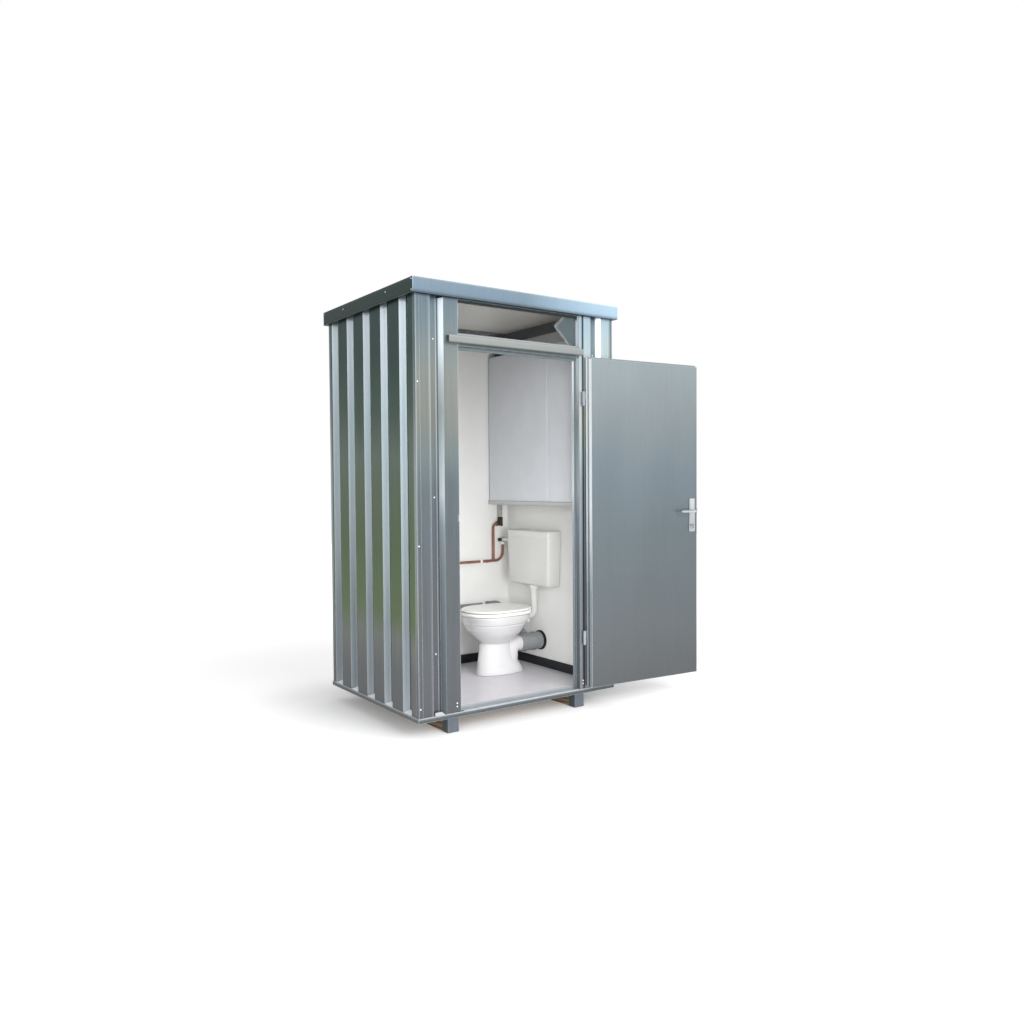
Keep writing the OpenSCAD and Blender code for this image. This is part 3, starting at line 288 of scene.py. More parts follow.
def painted_light(tree, across, low, high, stops):
    """Painted light and shade as a brightness by place, 1 where nothing changes; stops are (metres,
    brightness) from low to high.
    """
    bar = [((at - low) / (high - low), (value / BRIGHTEST,) * 3 + (1,)) for at, value in stops]
    grey = ramp(tree, add(tree, "MapRange", {0: across, 1: low, 2: high}).outputs[0], bar)
    return times(tree, add(tree, "RGBToBW", {0: grey}).outputs[0], BRIGHTEST)


def sheet(
    name, facing, turned, turned_axis="y", bands=None, along_y=None, rough=0.34, turned_metal=0.15,
    edge_gain=0.6, waver=0.05, drawn_gain=0.05, eaves=None, bands_all=1.0, under_tone=0.25
):
    """Zinc sheet with painted reflection: facing and turned are stops over the height, turned for faces along
    that axis.
    """
    made, tree, shader, place = material(
        name, Metallic=SHEET_METAL, Specular_Tint=(0.5, 0.54, 0.54, 1), Specular_IOR_Level=0.25
    )
    x, y, z = add(tree, "SeparateXYZ", {0: place}).outputs

    # painted reflection: base tones by height, one ramp for each way that a face can point
    soft = use(tree, cloud, Place=place, Size=0.45, Long=0.5)["Mask"]
    wave = times(tree, calc(tree, "SUBTRACT", soft, 0.5), waver)
    height = calc(tree, "ADD", calc(tree, "DIVIDE", z, TOP), wave)
    normal = add(tree, "SeparateXYZ", {0: add(tree, "NewGeometry").outputs["True Normal"]}).outputs
    along = calc(tree, "ABSOLUTE", normal["xyz".index(turned_axis)])
    side_on = span(tree, along, 0.55, 0.85)
    colour = blend(tree, side_on, ramp(tree, height, facing), ramp(tree, height, turned))
    less_metal = times(tree, side_on, turned_metal - SHEET_METAL)
    tree.links.new(calc(tree, "ADD", SHEET_METAL, less_metal), shader.inputs["Metallic"])

    # factors: crystals, rolling lines, painted shade on undersides, painted shade under the eaves, and
    # painted light and shade in bands by place
    grains = use(tree, spangle, Place=place, Size=CRYSTAL_SIZE)
    tone = between(tree, grains["Tone"], 1 - CRYSTAL_GAIN, 1 + CRYSTAL_GAIN)
    upright = add(tree, "Mapping", {0: place, 3: (1.0, 1.0, 0.02)}).outputs[0]
    drawn = use(tree, cloud, Place=upright, Size=ROLLING_WIDTH, Detail=2.0)["Mask"]
    under = span(tree, normal[2], -0.5, -0.9)
    factors = [between(tree, drawn, 1 - drawn_gain, 1 + drawn_gain), between(tree, under, 1.0, under_tone)]
    if eaves:
        factors.append(add(tree, "MapRange", {0: z, 1: eaves - 0.02, 2: eaves, 3: 1.0, 4: 0.3}).outputs[0])
    if bands:
        kept = times(tree, side_on, 1.0 - bands_all)
        across = painted_light(tree, x, -FRONT_REACH, FRONT_REACH, bands)
        factors.append(add(tree, "Mix", {0: kept, 2: across, 3: 1.0}, data_type="FLOAT").outputs[0])
    if along_y:
        factors.append(painted_light(tree, y, -SIDE_REACH, SIDE_REACH, along_y))
    for factor in factors:
        tone = times(tree, tone, factor)
    toned = add(tree, "VectorMath", {0: colour, 3: tone}, operation="SCALE").outputs[0]

    # painted fold highlights with a little wear, and painted shade low down over them, then gloss and relief
    edge = use(tree, rubbed_and_lit, Width=0.004)["Mask"]
    bright = blend(tree, times(tree, edge, edge_gain), toned, rgb(226, 232, 236))
    low_shade = use(tree, shading, Place=place, Low=0.08, High=0.35)["Mask"]
    final = blend(tree, times(tree, low_shade, 0.12), bright, rgb(120, 118, 112))
    tree.links.new(final, shader.inputs["Base Color"])
    gloss = calc(tree, "ADD", rough, times(tree, grains["Tone"], 0.10))
    tree.links.new(gloss, shader.inputs["Roughness"])
    relief = calc(tree, "ADD", times(tree, grains["Height"], 0.2), soft)
    bumped = add(tree, "Bump", {"Height": relief, "Strength": 0.08, "Distance": 0.001})
    tree.links.new(bumped.outputs[0], shader.inputs["Normal"])
    return made


# painted reflection: each ramp is the tone the surroundings mirror into a face, by height; the ramps in the
# finishes below are the same
dark_side = [
    (0.0, rgb(108, 109, 111)), (0.12, rgb(106, 108, 109)), (0.20, rgb(114, 117, 113)),
    (0.27, rgb(94, 109, 80)), (0.42, rgb(88, 103, 78)), (0.55, rgb(95, 107, 91)), (0.62, rgb(99, 110, 101)),
    (0.72, rgb(76, 90, 82)), (0.86, rgb(60, 75, 72)), (1.0, rgb(62, 77, 77))
]
pale_web = [
    (0.0, rgb(166, 173, 179)), (0.10, rgb(144, 153, 159)), (0.25, rgb(140, 150, 156)),
    (0.45, rgb(164, 176, 183)), (0.7, rgb(180, 194, 201)), (0.957, rgb(212, 223, 229))
]
front_face = [
    (0.0, rgb(88, 90, 94)), (0.3, rgb(88, 92, 95)), (0.45, rgb(92, 99, 104)), (0.55, rgb(97, 106, 110)),
    (0.62, rgb(112, 122, 123)), (0.70, rgb(127, 130, 126)), (0.78, rgb(132, 136, 133)),
    (0.86, rgb(125, 135, 136)), (0.97, rgb(112, 128, 138))
]
front_web = [
    (0.0, rgb(100, 108, 114)), (0.2, rgb(106, 116, 121)), (0.37, rgb(119, 128, 134)),
    (0.46, rgb(138, 149, 156)), (0.53, rgb(183, 190, 196)), (0.62, rgb(172, 181, 186)),
    (0.70, rgb(152, 164, 167)), (0.78, rgb(186, 194, 199)), (0.86, rgb(226, 234, 241)),
    (1.0, rgb(232, 240, 246))
]
corner_side = [
    (0.0, rgb(96, 99, 102)), (0.12, rgb(98, 101, 104)), (0.30, rgb(118, 126, 122)),
    (0.45, rgb(128, 135, 134)), (0.6, rgb(138, 143, 145)), (0.72, rgb(112, 118, 120)),
    (0.86, rgb(88, 99, 98)), (1.0, rgb(86, 99, 99))
]
door_face = [
    (0.0, rgb(90, 93, 96)), (0.12, rgb(96, 99, 101)), (0.30, rgb(100, 107, 111)), (0.45, rgb(106, 116, 121)),
    (0.6, rgb(120, 131, 138)), (0.75, rgb(139, 148, 151)), (0.88, rgb(151, 162, 166)),
    (1.0, rgb(155, 167, 172))
]
fascia_front = [
    (0.9675, rgb(70, 82, 90)), (0.970, rgb(104, 120, 132)), (0.974, rgb(126, 146, 162)),
    (0.99, rgb(130, 150, 166)), (0.998, rgb(134, 150, 160)), (1.0, rgb(162, 178, 189))
]
fascia_side = [
    (0.965, rgb(46, 54, 46)), (0.975, rgb(54, 66, 62)), (0.99, rgb(52, 64, 63)), (1.0, rgb(62, 76, 74))
]
# painted highlights and painted shade by x: bright lines at the corner and groove folds, and lighter towards
# the right of the front, the door frame and the fascia
FRONT_LEFT = [
    (-0.70, 1.0), (-0.6838, 1.0), (-0.683, 1.6), (-0.6795, 1.5), (-0.677, 0.98), (-0.64, 0.98), (-0.605, 1.0),
    (-0.602, 1.4), (-0.589, 1.4), (-0.585, 1.0), (-0.548, 0.93), (-0.5455, 0.93), (-0.543, 1.9),
    (-0.539, 1.8), (-0.537, 0.7), (-0.528, 0.6), (-0.522, 1.0), (-0.44, 1.02), (-0.428, 1.02), (-0.4215, 1.5)
]
FRONT_BANDS = FRONT_LEFT + [
    (-0.41, 1.0), (0.44, 2.6), (0.500, 2.7), (0.507, 3.2), (0.523, 1.5), (0.527, 0.8), (0.56, 0.9),
    (0.575, 1.0), (0.60, 2.6), (0.66, 2.4), (0.668, 1.0), (0.70, 0.9)
]
FRAME_BANDS = FRONT_LEFT + [
    (-0.41, 0.9), (0.400, 0.9), (0.4035, 1.45), (0.409, 1.45), (0.412, 0.75), (0.4222, 0.75), (0.424, 2.6),
    (0.440, 2.2), (0.446, 1.4), (0.449, 0.14), (0.456, 0.14), (0.462, 2.4)
]
FASCIA_BANDS = [
    (-0.72, 1.0), (-0.7092, 1.0), (-0.7088, 1.9), (-0.7045, 1.8), (-0.7035, 1.0), (-0.5, 0.96), (0.0, 0.97),
    (0.3, 1.5), (0.5, 1.85), (0.72, 2.1)
]


def web_bands():
    """Painted highlights along the folds of each groove of the side wall, and painted shade that darkens the
    webs towards the back.
    """
    stops = [(-0.556, 1.2), (-0.478, 1.05)]
    for at, level in zip(GROOVES, (1.2, 1.16, 0.98, 0.88, 0.9)):
        stops += [
            (at - 0.045, 1.0), (at + 0.030, 1.0), (at + 0.0335, 1.35 * level), (at + 0.038, level),
            (at + 0.0475, 1.06 * level), (at + 0.0485, 1.0)
        ]
    return stops


zinc_side = sheet("zinc side sheet", dark_side, pale_web, "y", along_y=web_bands(), eaves=2.362)
zinc_back = sheet("zinc back sheet", dark_side, pale_web, "x")
zinc_front = sheet("zinc front sheet", front_face, front_web, "x", bands=FRONT_BANDS, eaves=2.368)
# the door frame's undersides get painted light, not painted shade
zinc_frame = sheet(
    "zinc door frame", front_face, front_web, "x", bands=FRAME_BANDS, eaves=2.368, under_tone=1.2
)
zinc_corner = sheet(
    "zinc corner trims", front_face, corner_side, "x", bands=FRONT_BANDS, turned_metal=0.6, eaves=2.368
)
zinc_door = sheet(
    "zinc door", door_face,
    [
        (0.0, rgb(150, 158, 163)), (0.3, rgb(156, 166, 171)), (0.42, rgb(216, 221, 225)),
        (0.5, rgb(240, 244, 247)), (0.9, rgb(252, 254, 255))
    ],
    "x", rough=0.28, drawn_gain=0.015
)
# the fascia also gets painted shade and then a painted highlight near its back end along y
zinc_fascia = sheet(
    "zinc fascia", fascia_front, fascia_side, "x", bands=FASCIA_BANDS,
    along_y=[(-0.6, 1.0), (0.5555, 1.0), (0.557, 0.4), (0.561, 0.45), (0.563, 1.9), (0.58, 1.6)],
    edge_gain=0.3, waver=0.0, drawn_gain=0.02, turned_metal=0.6, bands_all=0.0
)
# painted highlight: the base ring's top flange turns near white above 0.119 m
zinc_base = sheet(
    "zinc base",
    [
        (0.0, rgb(80, 84, 87)), (0.0458, rgb(84, 90, 94)), (0.0480, rgb(130, 138, 144)),
        (0.0488, rgb(235, 240, 243))
    ],
    [
        (0.0, rgb(74, 77, 79)), (0.0458, rgb(90, 94, 96)), (0.0480, rgb(122, 128, 132)),
        (0.0488, rgb(210, 216, 219))
    ],
    "x", waver=0.0, edge_gain=0.9
)
zinc_iron = sheet(
    "zinc irons", [(0.0, rgb(112, 118, 126)), (0.05, rgb(100, 108, 118))],
    [(0.0, rgb(70, 76, 80)), (0.05, rgb(74, 80, 84))], "x", waver=0.0
)
print("sheet finishes", sum(m.name.startswith("zinc ") for m in bpy.data.materials))

# %% [markdown]
# ## Plain finishes
# The rest of the cabin is white board, china, plastics, timber and small metal.
# None of them is one flat colour: china is glazed over faint waves, board has a
# fine print, plastic has a moulded skin, timber has rings and saw marks. Several
# also get painted light and shade by height, and a faint painted highlight on edges.

# %% Smooth finishes
RISE_TOP = 2.4


def smooth(
    name, colour, rough, metal=0.0, vary=0.04, size=0.15, peel=0.05, peel_size=0.004, rise=None, **constants
):
    """A smooth skin: its colour and gloss drift a little, and a fine grain breaks the reflection; rise is
    painted light and shade by height.
    """
    made, tree, shader, place = material(name, Metallic=metal, **constants)
    drift = use(tree, cloud, Place=place, Size=size)["Mask"]
    tone = between(tree, drift, 1 - vary, 1 + vary * 0.5)
    # painted light and shade by height
    if rise:
        z = add(tree, "SeparateXYZ", {0: place}).outputs[2]
        tone = times(tree, tone, painted_light(tree, z, 0.0, RISE_TOP, rise))
    tinted = add(tree, "VectorMath", {0: colour[:3], 3: tone}, operation="SCALE").outputs[0]
    # painted highlight on the edges, with a little wear
    edge = use(tree, rubbed_and_lit, Width=0.002)["Mask"]
    lighter = (*[min(1.0, c * 1.25) for c in colour[:3]], 1)
    final = blend(tree, times(tree, edge, 0.15), tinted, lighter)
    tree.links.new(final, shader.inputs["Base Color"])
    tree.links.new(calc(tree, "ADD", rough, times(tree, drift, 0.08)), shader.inputs["Roughness"])
    grain = add(tree, "TexNoise", {"Vector": place, "Scale": 1 / peel_size, "Detail": 2.0}).outputs[0]
    bumped = add(tree, "Bump", {"Height": grain, "Strength": peel, "Distance": 0.0005})
    tree.links.new(bumped.outputs[0], shader.inputs["Normal"])
    return made


# painted light and shade: lighter low down and darker towards the ceiling
laminate = smooth(
    "white wall board", rgb(240, 240, 238), 0.42, vary=0.02, peel=0.04,
    rise=[(0.0, 1.13), (0.5, 1.10), (0.66, 1.03), (0.8, 1.0), (1.2, 0.9), (1.9, 0.72), (2.4, 0.6)]
)
# painted shade: the ceiling board is grey for the shade it lies in
ceiling = smooth("ceiling board", rgb(174, 171, 165), 0.5, vary=0.03)
# painted light: the china is lighter below about 0.33 m, at the foot
ceramic = smooth(
    "sanitary china", rgb(209, 208, 209), 0.12, vary=0.02, size=0.3, peel=0.02, peel_size=0.02,
    rise=[(0.0, 1.18), (0.31, 1.16), (0.345, 1.0), (2.4, 1.0)], Coat_Weight=0.4, Coat_Roughness=0.05
)
white_plastic = smooth("white plastic", rgb(252, 252, 249), 0.28, vary=0.02)
grey_plastic = smooth("grey pipe", rgb(136, 140, 142), 0.45)
cistern_plastic = smooth("cistern plastic", rgb(219, 219, 216), 0.3, vary=0.02)
# painted shade: the tank darkens towards its top
tank_plastic = smooth(
    "tank plastic", rgb(214, 217, 222), 0.5, vary=0.03,
    rise=[(0.0, 1.0), (1.25, 0.98), (1.7, 0.9), (2.4, 0.78)]
)
black_plastic = smooth("black plastic", rgb(28, 28, 30), 0.4)
black_rubber = smooth("black rubber", rgb(24, 24, 25), 0.75)
dark_trim = smooth("dark trim", rgb(28, 32, 36), 0.5)
# painted shade on the rail's lower part and a painted highlight on its top
rail_metal = smooth(
    "rail", rgb(140, 144, 142), 0.42, metal=0.5,
    rise=[(0.0, 0.33), (2.1245, 0.33), (2.1275, 1.0), (2.152, 1.05), (2.156, 1.3), (2.4, 1.35)]
)
# painted shadow of the fascia on the top of the bead
bead_metal = smooth(
    "pane bead", rgb(176, 182, 186), 0.4, metal=0.5,
    rise=[(0.0, 1.0), (2.325, 1.0), (2.340, 0.08), (2.4, 0.08)]
)
seal_grey = smooth("door seal", rgb(96, 104, 108), 0.6)
# painted highlight on the top of the shelf
shelf_zinc = smooth(
    "shelf zinc", rgb(186, 188, 186), 0.45, metal=0.2,
    rise=[(0.0, 1.0), (1.236, 1.0), (1.239, 1.3), (2.4, 1.3)]
)
aluminium = smooth("drawn aluminium", rgb(188, 194, 198), 0.34, metal=0.8)
steel_zinc = smooth("zinc steel", rgb(160, 170, 176), 0.42, metal=0.7, vary=0.12, size=0.04)
rivet_zinc = smooth("rivet heads", rgb(238, 242, 246), 0.35, metal=0.2)
# painted highlight: near white, for the flange under each groove that catches the sky
bright_zinc = smooth("bright zinc", rgb(250, 252, 253), 0.5)
stainless = smooth("stainless", rgb(190, 194, 197), 0.3, metal=0.9)
chrome = smooth("chrome", rgb(215, 218, 220), 0.1, metal=1.0)
copper = smooth("copper", rgb(156, 108, 92), 0.4, metal=0.4, vary=0.25, size=0.05)
brass = smooth("brass", rgb(128, 98, 64), 0.36, metal=0.9, vary=0.2, size=0.03)
dark_metal = smooth("dark chrome", rgb(66, 70, 60), 0.22, metal=0.85, vary=0.3, size=0.01)
column_metal = smooth("column zinc", rgb(184, 186, 180), 0.3, metal=0.45, vary=0.3, size=0.01)
green_lever = smooth("lever green", rgb(44, 58, 40), 0.4)
plywood = smooth("floor board", rgb(176, 150, 112), 0.7)
vinyl = smooth("floor covering", rgb(214, 212, 217), 0.33, vary=0.05, size=0.08)
print("finishes so far", len(bpy.data.materials))

# %% [markdown]
# The pane is clear, but its right end mirrors something grey with a slanting
# outline. That painted reflection is a mask by place: |z - z0| sets where it begins.

# %% Clear pane
# painted reflection on the pane's right end
REFLECTION_X, REFLECTION_Z, REFLECTION_SLANT = 0.2542, 2.2831, 1.05
REFLECTION_STRENGTH = 0.42
clear_pane, tree, shader, place = material("clear pane", Roughness=0.05, IOR=1.2, Transmission_Weight=1.0)
x, _, z = add(tree, "SeparateXYZ", {0: place}).outputs
off_middle = calc(tree, "ABSOLUTE", calc(tree, "SUBTRACT", z, REFLECTION_Z))
inward = calc(
    tree, "SUBTRACT", calc(tree, "SUBTRACT", x, REFLECTION_X), times(tree, off_middle, REFLECTION_SLANT)
)
painted_reflection = span(tree, inward, -0.008, 0.028)
tree.links.new(blend(tree, painted_reflection, (0.97, 0.985, 0.985, 1), rgb(112, 126, 130)), shader.inputs["Base Color"])
see_through = calc(tree, "SUBTRACT", 1.0, times(tree, painted_reflection, REFLECTION_STRENGTH))
tree.links.new(see_through, shader.inputs["Transmission Weight"])
print("clear pane", len(tree.nodes), "nodes")

# %% [markdown]
# The runners are sawn timber, grey from rain. Wave bands drawn out along the
# runner give the year rings, and a much finer noise gives the saw's fibres. An
# image of wood would do as well, but it would have to be unwrapped and stored.

# %% Timber
timber, tree, shader, place = material("weathered timber", Roughness=0.85)
long_way = add(tree, "Mapping", {0: place, 3: (14.0, 1.2, 14.0)}).outputs[0]
rings = add(tree, "TexWave", {0: long_way, 1: 1.6, 2: 5.0, 3: 3.0, 4: 1.2}, bands_direction="DIAGONAL")
strands = add(tree, "Mapping", {0: place, 3: (160.0, 5.0, 160.0)}).outputs[0]
fibre = add(tree, "TexNoise", {"Vector": strands, "Scale": 1.0, "Detail": 6.0}).outputs[0]
woody = ramp(
    tree, rings.outputs[1], [(0.0, rgb(96, 78, 60)), (0.6, rgb(140, 118, 92)), (1.0, rgb(158, 138, 112))]
)
final = blend(tree, times(tree, fibre, 0.5), woody, rgb(112, 100, 86))
tree.links.new(final, shader.inputs["Base Color"])
bumped = add(tree, "Bump", {"Height": fibre, "Strength": 0.5, "Distance": 0.001})
tree.links.new(bumped.outputs[0], shader.inputs["Normal"])
print("timber", len(tree.nodes), "nodes")

# %% [markdown]
# ## Finishes on the frame's own pieces
# A piece whose shape is right keeps its mesh and only gets a finish. The pieces
# that are drawn again below have one here as well.

# %% Give out the finishes
FINISHES = [
    (timber, "runners door_core"),
    (zinc_iron, "runner_irons"),
    (steel_zinc, "frame_bolts roof_sheet hinge_frame_leaves hinge_door_leaves"),
    (zinc_base, "base_frame"),
    (plywood, "floor_board"),
    (vinyl, "floor_covering"),
    (aluminium, "threshold"),
    (zinc_side, "side_sheets"),
    (zinc_back, "back_sheet"),
    (zinc_front, "front_sheets"),
    (zinc_corner, "corner_trims"),
    (zinc_frame, "door_frame"),
    (seal_grey, "door_seal"),
    (stainless, "keep_plate hinge_pins lock_case door_plates spindle levers latch_bolt thumb_turn dead_bolt"),
    (rail_metal, "drip_rail"),
    (clear_pane, "transom_pane"),
    (bead_metal, "transom_bead"),
    (dark_trim, "roof_frame skirtings"),
    (ceiling, "roof_board"),
    (zinc_fascia, "fascia"),
    (laminate, "wall_boards"),
    (rivet_zinc, "rivets"),
    (zinc_door, "door_outer door_inner"),
    (ceramic, "toilet_bowl hand_basin"),
    (white_plastic,
     "seat_hinges toilet_seat toilet_lid cistern_body cistern_lid flush_button flush_valve flush_pipe "
     "basin_trap"),
    (grey_plastic, "waste_pipe drain_pipe"),
    (black_rubber, "waste_collar"),
    (tank_plastic, "tank_body"),
    (black_plastic, "tank_cap tank_valve_lever cistern_valve_knob"),
    (shelf_zinc, "tank_shelf"),
    (copper, "copper_pipes"),
    (brass, "brass_fittings"),
    (chrome, "basin_tap tap_lever"),
]
given = {name: finish for finish, names in FINISHES for name in names.split()}
for name, finish in given.items():
    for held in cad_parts[name].material_slots:
        held.material = finish
print("finishes given", len(given), "left", sorted(set(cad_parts) - set(given)))

# %% [markdown]
# ## Rings, tubes and skins
# A curved piece is a stack of rings. The rings of a tube stand square to its
# path, those of a turned piece lie round one axis, and those of china and
# plastic shells are closed outlines at rising heights. One skin closes them all:
# it joins each ring to the next with four-sided faces and shuts the two ends.

# %% Skin and piece
TURN = np.linspace(0, 2 * np.pi, 96, endpoint=False)
ARC_STEPS = 12


def skin(rings, wrap=False):
    """Faces between neighbouring rings (k, n, 3); the ends get a fan, or the last ring meets the first."""
    rings = np.asarray(rings, float)
    k, n, _ = rings.shape
    at = np.arange(k * n).reshape(k, n)
    low, high = (at, np.roll(at, -1, 0)) if wrap else (at[:-1], at[1:])
    quads = np.stack([low, np.roll(low, -1, 1), np.roll(high, -1, 1), high], -1).reshape(-1, 4)
    points, fans = rings.reshape(-1, 3), np.zeros((0, 3), int)
    if not wrap:
        points = np.vstack([points, rings[0].mean(0), rings[-1].mean(0)])
        fans = np.vstack([np.stack([np.roll(at[0], -1), at[0], np.full(n, k * n)], -1),
                          np.stack([at[-1], np.roll(at[-1], -1), np.full(n, k * n + 1)], -1)])
    return points, quads, fans


def piece(name, shells, finish, body, slot, *nodes, sharp=38):
    """One object of closed shells with faces outwards, riding on its body in place of the CAD nodes."""
    starts = np.cumsum([0] + [len(points) for points, _, _ in shells])
    faces = [
        face
        for (_, quads, fans), start in zip(shells, starts)
        for face in (quads + start).tolist() + (fans + start).tolist()
    ]
    mesh = bpy.data.meshes.new(name)
    mesh.from_pydata(np.vstack([points for points, _, _ in shells]).tolist(), [], faces)
    solid = bmesh.new()
    solid.from_mesh(mesh)
    bmesh.ops.recalc_face_normals(solid, faces=solid.faces)
    solid.to_mesh(mesh)
    solid.free()
    mesh.shade_smooth()
    mesh.set_sharp_from_angle(angle=math.radians(sharp))
    mesh.materials.append(finish)
    made = bpy.data.objects.new(name, mesh)
    scene.collection.objects.link(made)
    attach(made, body)
    if nodes:
        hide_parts(*nodes)
    return made


# %% Rings
def tube(path, radius, plane, n=32):
    """Rings square to a flat path; plane is the path's normal: p + r (plane cos t + side sin t)."""
    path, plane = np.asarray(path, float), np.asarray(plane, float)
    ahead = np.gradient(path, axis=0)
    ahead /= np.linalg.norm(ahead, axis=1)[:, None]
    plane = plane / np.linalg.norm(plane)
    side = np.cross(ahead, plane)
    t = np.linspace(0, 2 * np.pi, n, endpoint=False)[None, :, None]
    r = np.broadcast_to(radius, len(path))[:, None, None]
    return path[:, None] + r * (np.cos(t) * plane + np.sin(t) * side[:, None])


def turned(at, axis, profile, n=48, ribs=0, rib_depth=0.0):
    """Rings round an axis through at; profile has (distance, radius): at + s axis + r (u cos t + v sin t)."""
    axis = np.asarray(axis, float) / np.linalg.norm(axis)
    u = np.cross(axis, [0.31, 0.47, 0.82] if abs(axis[2]) < 0.9 else [1.0, 0, 0])
    u /= np.linalg.norm(u)
    v = np.cross(axis, u)
    s, r = np.asarray(profile, float).T
    t = np.linspace(0, 2 * np.pi, n, endpoint=False)
    r = r[:, None] * (1 + rib_depth * np.cos(ribs * t))
    around = np.cos(t)[:, None] * u + np.sin(t)[:, None] * v
    return np.asarray(at) + s[:, None, None] * axis + r[..., None] * around


def bent(corners, radius):
    """A path with true arcs at its corners, as rational quadratics of weight cos(half the turn)."""
    corners = np.asarray(corners, float)
    t = np.linspace(0, 1, ARC_STEPS)[:, None]
    path = [corners[:1]]
    for before, corner, after in zip(corners[:-2], corners[1:-1], corners[2:]):
        back, on = before - corner, after - corner
        back, on = back / np.linalg.norm(back), on / np.linalg.norm(on)
        weight = math.sqrt((1 - back @ on) / 2)
        reach = radius * math.sqrt((1 + back @ on) / (1 - back @ on))
        parts = (1 - t) ** 2, 2 * weight * t * (1 - t), t ** 2
        arc = parts[0] * (corner + back * reach) + parts[1] * corner + parts[2] * (corner + on * reach)
        path.append(arc / sum(parts))
    return np.vstack(path + [corners[-1:]])


def egg(x0, x1, half, z, square=1.0, wide=0.5):
    """Closed outline about the toilet's axis; its rear half has |cos|^square, so a low square is boxier."""
    c, s = np.cos(TURN), np.sin(TURN)
    power = np.where(c < 0, 1.0, square)
    mid = x0 + wide * (x1 - x0)
    x = mid + np.where(c < 0, mid - x0, x1 - mid) * np.sign(c) * np.abs(c) ** power
    return np.stack([x, AXIS_Y + half * np.sign(s) * np.abs(s) ** power, np.full_like(x, z)], 1)


def plate(x0, x1, y0, y1, r, z, steps=8):
    """Rectangle with round corners at height z."""
    t = np.linspace(0, np.pi / 2, steps)
    arcs = [(x1 - r, y1 - r, 0), (x0 + r, y1 - r, 1), (x0 + r, y0 + r, 2), (x1 - r, y0 + r, 3)]
    return np.vstack([
        np.stack([x + r * np.cos(t + q * np.pi / 2), y + r * np.sin(t + q * np.pi / 2), np.full(steps, z)], 1)
        for x, y, q in arcs
    ])


# %% [markdown]
# ## Toilet
# The outlines below were read off the photo with the camera above: front and
# rear end and half width at each height. The bowl climbs its inner wall, turns
# over the rim, runs down the belly to the waist and ends at the foot. The trap
# is a tube inside the rear of the pedestal. Remeshing fuses both and a little
# smoothing gives the soft hollows of cast china.

# %% Bowl
AXIS_Y = 0.121
WASTE_Z = 0.298
WASTE_AXIS = (0, AXIS_Y, WASTE_Z)
SECTIONS = [
    (0.345, 0.190, 0.320, 0.040), (0.400, 0.125, 0.345, 0.085), (0.450, 0.090, 0.365, 0.125),
    (0.485, 0.072, 0.378, 0.142), (0.505, 0.070, 0.380, 0.144), (0.511, 0.064, 0.386, 0.150),
    (0.512, 0.046, 0.476, 0.168), (0.509, 0.039, 0.483, 0.175), (0.501, 0.036, 0.486, 0.178),
    (0.478, 0.0445, 0.4825, 0.1755), (0.4585, 0.0495, 0.476, 0.1705), (0.4535, 0.0575, 0.468, 0.1625),
    (0.4485, 0.0535, 0.472, 0.1665), (0.4195, 0.064, 0.461, 0.155), (0.393, 0.084, 0.445, 0.141),
    (0.373, 0.1035, 0.427, 0.126), (0.354, 0.123, 0.398, 0.107), (0.338, 0.142, 0.374, 0.091),
    (0.327, 0.158, 0.366, 0.074), (0.3205, 0.150, 0.368, 0.068), (0.315, 0.1465, 0.370, 0.069),
    (0.284, 0.144, 0.376, 0.072), (0.250, 0.139, 0.390, 0.076), (0.211, 0.132, 0.416, 0.080),
    (0.170, 0.1275, 0.450, 0.087), (0.142, 0.123, 0.468, 0.094), (0.124, 0.121, 0.477, 0.0945),
    (0.1205, 0.124, 0.474, 0.091),
]
squares = np.interp([z for z, *_ in SECTIONS], [0.35, 0.43, 0.47], [1.0, 0.9, 0.66])
bowl = [
    egg(x0, x1, half, z, square, np.interp(square, [0.66, 1.0], [0.42, 0.5]))
    for (z, x0, x1, half), square in zip(SECTIONS, squares)
]
trap_path = bent([(0.352, AXIS_Y, 0.150), (0.378, AXIS_Y, WASTE_Z), (0.491, AXIS_Y, WASTE_Z)], 0.07)
trap = tube(
    trap_path, np.interp(trap_path[:, 2], [0.15, 0.25, WASTE_Z], [0.070, 0.064, 0.051]), (0, 1, 0), 40
)
china = piece("bowl", [skin(bowl), skin(trap)], ceramic, "cabin", "ceramic", "toilet_bowl", sharp=180)
fused = china.modifiers.new("fuse", "REMESH")
fused.mode, fused.voxel_size, fused.use_smooth_shade = "VOXEL", 0.0030, True
eased = china.modifiers.new("ease", "SMOOTH")
eased.factor, eased.iterations = 0.5, 3
print("bowl rings", len(bowl))

# %% [markdown]
# Seat and lid are moulded shells on two hinge eyes. The seat is a closed loop
# that runs between an outer and an inner egg, the lid a stack of shrinking eggs.
# Bevelled solids would be quicker, but only rings give the even roll of a rim.

# %% Seat and lid
PIVOT = (0.474, 0.524)
outer, inner = egg(0.028, 0.498, 0.180, 0, 0.66, 0.42), egg(0.090, 0.336, 0.116, 0, 0.66, 0.42)
outer[:, 0] = np.minimum(outer[:, 0], 0.456)
LOOP = [
    (0.0, 0.521), (0.0, 0.526), (0.015, 0.5305), (0.05, 0.5332), (0.10, 0.534), (0.85, 0.5335),
    (0.95, 0.5315), (1.0, 0.526), (1.0, 0.519), (0.96, 0.5145), (0.9, 0.514), (0.08, 0.514), (0.03, 0.5155)
]
seat_rings = [outer + (inner - outer) * share + [0, 0, z] for share, z in LOOP]


